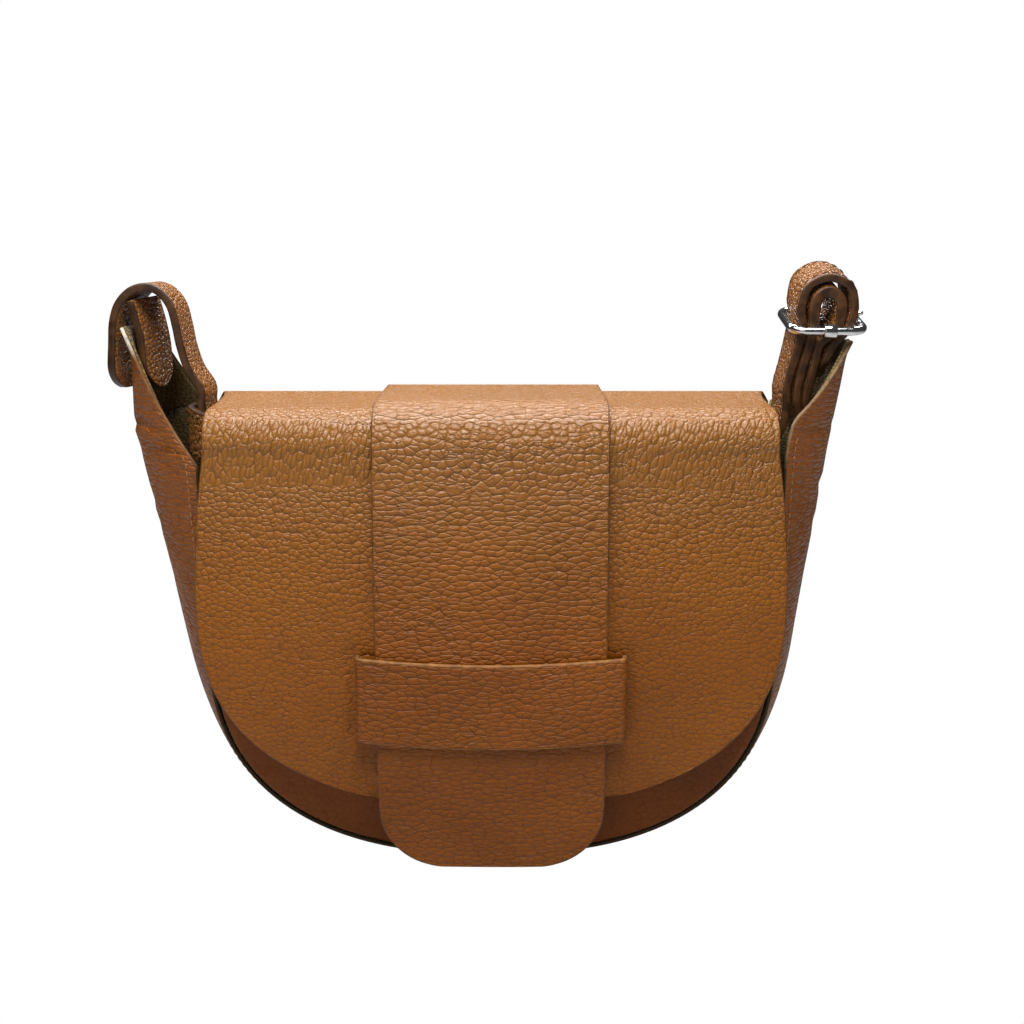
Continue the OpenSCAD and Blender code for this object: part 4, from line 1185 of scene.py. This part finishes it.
def knucklePlace(p):
    return inBuckle((p[1], p[0], p[2]))


prongPiece = joined("buckleProng", [
    tubePiece("prong", prongPath(), buckle["prong"], ends=tubeSides["dome"], sides=tubeSides["prong"]),
    ringPiece("knuckle", knuckleProfile(), knucklePlace)])
slot = {"reach": 0.92, "below": 6, "above": 10}  # share of the frame's half length, degrees


def cutSlots(piece):
    # The slot that the prong passes through, cut with play on all sides
    play = buckle["prong"] + buckle["slotPlay"]
    reach = slot["reach"] * endX
    low, high = prongLift - math.radians(slot["below"]), prongLift + math.radians(slot["above"])
    corners = [(0, -play), (reach * math.cos(low), reach * math.sin(low) - play),
               (reach * math.cos(high), reach * math.sin(high) + play), (0, play)]
    verts = [inBuckle((x, y, z)) for y in (-play, play) for x, z in corners]
    faces = [(0, 1, 2, 3), (7, 6, 5, 4)] + [(i, i + 4, (i + 1) % 4 + 4, (i + 1) % 4) for i in range(4)]
    cutter = meshPiece("slotCutter", verts, faces, [strapEdge])
    modifier = piece.modifiers.new("slot", "BOOLEAN")
    modifier.operation = "DIFFERENCE"
    modifier.solver = "EXACT"
    modifier.object = cutter
    takeShape(piece, modifier)
    bpy.data.objects.remove(cutter)


def takeShape(piece, modifier):
    # The modifier's result becomes the piece's own mesh
    shaped = bpy.data.meshes.new_from_object(piece.evaluated_get(bpy.context.evaluated_depsgraph_get()))
    piece.modifiers.remove(modifier)
    piece.data = shaped


cutSlots(shoulderStrap)
cutSlots(buckleTabPiece)
for piece, body, node, finish in ((shoulderStrap, "bag", "shoulder_strap", "strap_leather"),
                                  (leftAnchorTab, "bag", "left_anchor_tab", "strap_leather"),
                                  (buckleTabPiece, "bag", "buckle_tab", "strap_leather"),
                                  (buckleFrame, "buckle", "buckle_frame", "polished_metal"),
                                  (buckleBar, "buckle", "buckle_bar", "polished_metal"),
                                  (prongPiece, "prong", "buckle_prong", "polished_metal")):
    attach(piece, body)
    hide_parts(node)
for node in ("snap_socket", "snap_washer", "snap_stud", "left_rivets", "right_rivet"):
    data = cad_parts[node].data
    data.materials.clear()
    data.materials.append(silver)
print("buckle built")

# Stitches: each row follows a guide line, made by one tree of nodes
stitch = {"Pitch": 3.4, "Length": 2.5, "Thread": 0.55, "Slant": 0.0}


def stitchTree():
    tree = bpy.data.node_groups.new("stitchRow", "GeometryNodeTree")
    face = tree.interface
    face.new_socket("Guide", in_out="INPUT", socket_type="NodeSocketGeometry")
    for key, value in stitch.items():
        face.new_socket(key, in_out="INPUT", socket_type="NodeSocketFloat").default_value = value
    face.new_socket("Material", in_out="INPUT", socket_type="NodeSocketMaterial")
    face.new_socket("Stitches", in_out="OUTPUT", socket_type="NodeSocketGeometry")

    def make(kind, inputs=None, **settings):
        return addNode(tree, kind, inputs, **settings).outputs

    given = make("NodeGroupInput")
    curve = make("GeometryNodeMeshToCurve", {"Mesh": given["Guide"]})
    spaced = make("GeometryNodeResampleCurve", {"Curve": curve[0], "Length": given["Pitch"]}, mode="LENGTH")
    ball = make("GeometryNodeMeshUVSphere", {"Segments": 6, "Rings": 6, "Radius": 0.5})
    size = make("ShaderNodeCombineXYZ", {"X": given["Thread"], "Y": given["Thread"], "Z": given["Length"]})
    drawn = make("GeometryNodeTransform", {"Geometry": ball["Mesh"], "Scale": size[0]})
    laid = make("GeometryNodeTransform", {"Geometry": drawn[0], "Rotation": (0, math.pi / 2, 0)})
    tangent = make("GeometryNodeInputTangent")
    up = make("GeometryNodeInputNamedAttribute", {"Name": "up"}, data_type="FLOAT_VECTOR")
    first = make("FunctionNodeAlignRotationToVector", {"Vector": tangent[0]}, axis="X")
    second = make("FunctionNodeAlignRotationToVector", {"Rotation": first[0], "Vector": up["Attribute"]},
                  axis="Z", pivot_axis="X")
    tilt = make("FunctionNodeAxisAngleToRotation", {"Axis": (0, 0, 1), "Angle": given["Slant"]})
    turned = make("FunctionNodeRotateRotation", {"Rotation": second[0], "Rotate By": tilt[0]},
                  rotation_space="LOCAL")
    placed = make("GeometryNodeInstanceOnPoints", {"Points": spaced[0], "Instance": laid[0],
                                                   "Rotation": turned[0]})
    real = make("GeometryNodeRealizeInstances", {0: placed[0]})
    painted = make("GeometryNodeSetMaterial", {"Geometry": real[0], "Material": given["Material"]})
    make("NodeGroupOutput", {0: painted[0]})
    return tree


stitchNodes = stitchTree()
sockets = {item.name: item.identifier for item in stitchNodes.interface.items_tree if item.in_out == "INPUT"}


def stitchPiece(name, lines, material, slot, body, **changes):
    # lines: lists of (point, up) in millimetres
    verts, ups, edges = [], [], []
    for line in lines:
        start = len(verts)
        verts += [tuple(np.array(p) * mm) for p, _ in line]
        ups += [tuple(u) for _, u in line]
        edges += [(start + i, start + i + 1) for i in range(len(line) - 1)]
    mesh = bpy.data.meshes.new(name)
    mesh.from_pydata(verts, edges, [])
    attribute = mesh.attributes.new("up", "FLOAT_VECTOR", "POINT")
    attribute.data.foreach_set("vector", np.array(ups, np.float32).ravel())
    obj = putInScene(name, mesh)
    modifier = obj.modifiers.new("stitches", "NODES")
    modifier.node_group = stitchNodes
    sizes = {**stitch, **changes}
    for key in ("Pitch", "Length", "Thread"):
        modifier[sockets[key]] = sizes[key] * mm
    modifier[sockets["Slant"]] = math.radians(sizes["Slant"])
    modifier[sockets["Material"]] = material
    bpy.context.view_layer.update()
    takeShape(obj, modifier)
    obj.data.polygons.foreach_set("use_smooth", [True] * len(obj.data.polygons))
    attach(obj, body)


def gussetSeamLine(v, lift):
    grid = np.array([[across(row, w) for w in (v - 0.01, v, v + 0.01)] for row in gussetLines])
    normals = gridNormals(grid)
    over = bodyDetail["wingSteps"] - 2
    return [(grid[i, 1] + normals[i, 1] * lift, normals[i, 1]) for i in range(over, len(gussetLines) - over)]


def strapEdgeLines(inset, skip, trim):
    # Two rows on each face of the shoulder strap
    p, side, up = strapFrame(strapPlaces, strapWidths)
    lines = []
    for s in (-1, 1):
        for face in (-1, 1):
            lift = face * strap["leather"] / 2
            offset = s * (strap["width"] / 2 - inset)
            lines.append([(p[i] + side[i] * offset + up[i] * lift, up[i] * face)
                          for i in range(skip, len(p) - trim)])
    return lines


seam = {"edge": 0.04, "sunk": 0.06}
strapSeam = {"inset": 2.3, "skip": (len(leftLoop) + 1) * strapDetail["cuts"], "trim": 10}
stitchPiece("gussetStitches", [gussetSeamLine(v, -seam["sunk"]) for v in (seam["edge"], 1 - seam["edge"])],
            paleThread, "strap_leather", "bag", Pitch=3.2, Length=2.3)
stitchPiece("strapStitches", strapEdgeLines(**strapSeam), darkThread, "strap_leather", "bag", Pitch=3.9,
            Length=3.0, Thread=0.85, Slant=22)
print("stitches made")

# Floor, light and background
room = {"floor": 3, "floorTone": 0.5, "world": 0.05}
white = (1, 1, 1, 1)
lights = {
    "keyLight": {"place": (-0.05, -0.24, 0.72), "target": (0, -0.03, 0.12), "size": (0.7, 0.3), "power": 6.8},
    "topLight": {"place": (0.0, 0.3, 0.62), "target": (0, 0, 0.18), "size": (0.8, 0.1), "power": 4.6},
    "fillLight": {"place": (-0.4, -1.1, 0.5), "target": (0, 0, 0.1), "size": (0.7, 0.7), "power": 1.3},
}


def whiteToCamera(tree, dull, bright, output):
    # The camera sees one shader, every other ray the other
    rays = addNode(tree, "ShaderNodeLightPath").outputs["Is Camera Ray"]
    both = addNode(tree, "ShaderNodeMixShader", {0: rays, 1: dull.outputs[0], 2: bright.outputs[0]})
    feed(tree, both.outputs[0], tree.nodes[output].inputs["Surface"])


def stageMaterial():
    # Plain white to the camera, a pale grey floor to every other ray
    n = Nodes("paleFloor")
    n.paint({"Base Color": (room["floorTone"],) * 3 + (1,), "Roughness": 0.9})
    glow = n.add("ShaderNodeEmission", {"Color": white, "Strength": 1.0})
    whiteToCamera(n.tree, n.shader, glow, "Material Output")
    return n.material


def addStage():
    size = room["floor"]
    mesh = bpy.data.meshes.new("floor")
    corners = [(-size, -size, 0), (size, -size, 0), (size, size, 0), (-size, size, 0)]
    mesh.from_pydata(corners, [], [(0, 1, 2, 3)])
    mesh.materials.append(stageMaterial())
    floor = putInScene("floor", mesh)


def addLight(name, place, target, size, power):
    data = bpy.data.lights.new(name, "AREA")
    data.shape = "RECTANGLE"
    data.size, data.size_y = size
    data.energy = power
    obj = putInScene(name, data)
    obj.location = place
    obj.rotation_euler = (Vector(target) - Vector(place)).to_track_quat("-Z", "Y").to_euler()


def addWorld():
    world = bpy.data.worlds.new("studio")
    world.use_nodes = True
    tree = world.node_tree
    dim = tree.nodes["Background"]
    feed(tree, white, dim.inputs["Color"])
    feed(tree, room["world"], dim.inputs["Strength"])
    bright = addNode(tree, "ShaderNodeBackground", {"Color": white, "Strength": 1})
    whiteToCamera(tree, dim, bright, "World Output")
    bpy.context.scene.world = world


addStage()
for name, light in lights.items():
    addLight(name, **light)
addWorld()
scene = bpy.context.scene
scene.view_settings.view_transform = "Standard"
print("stage set")
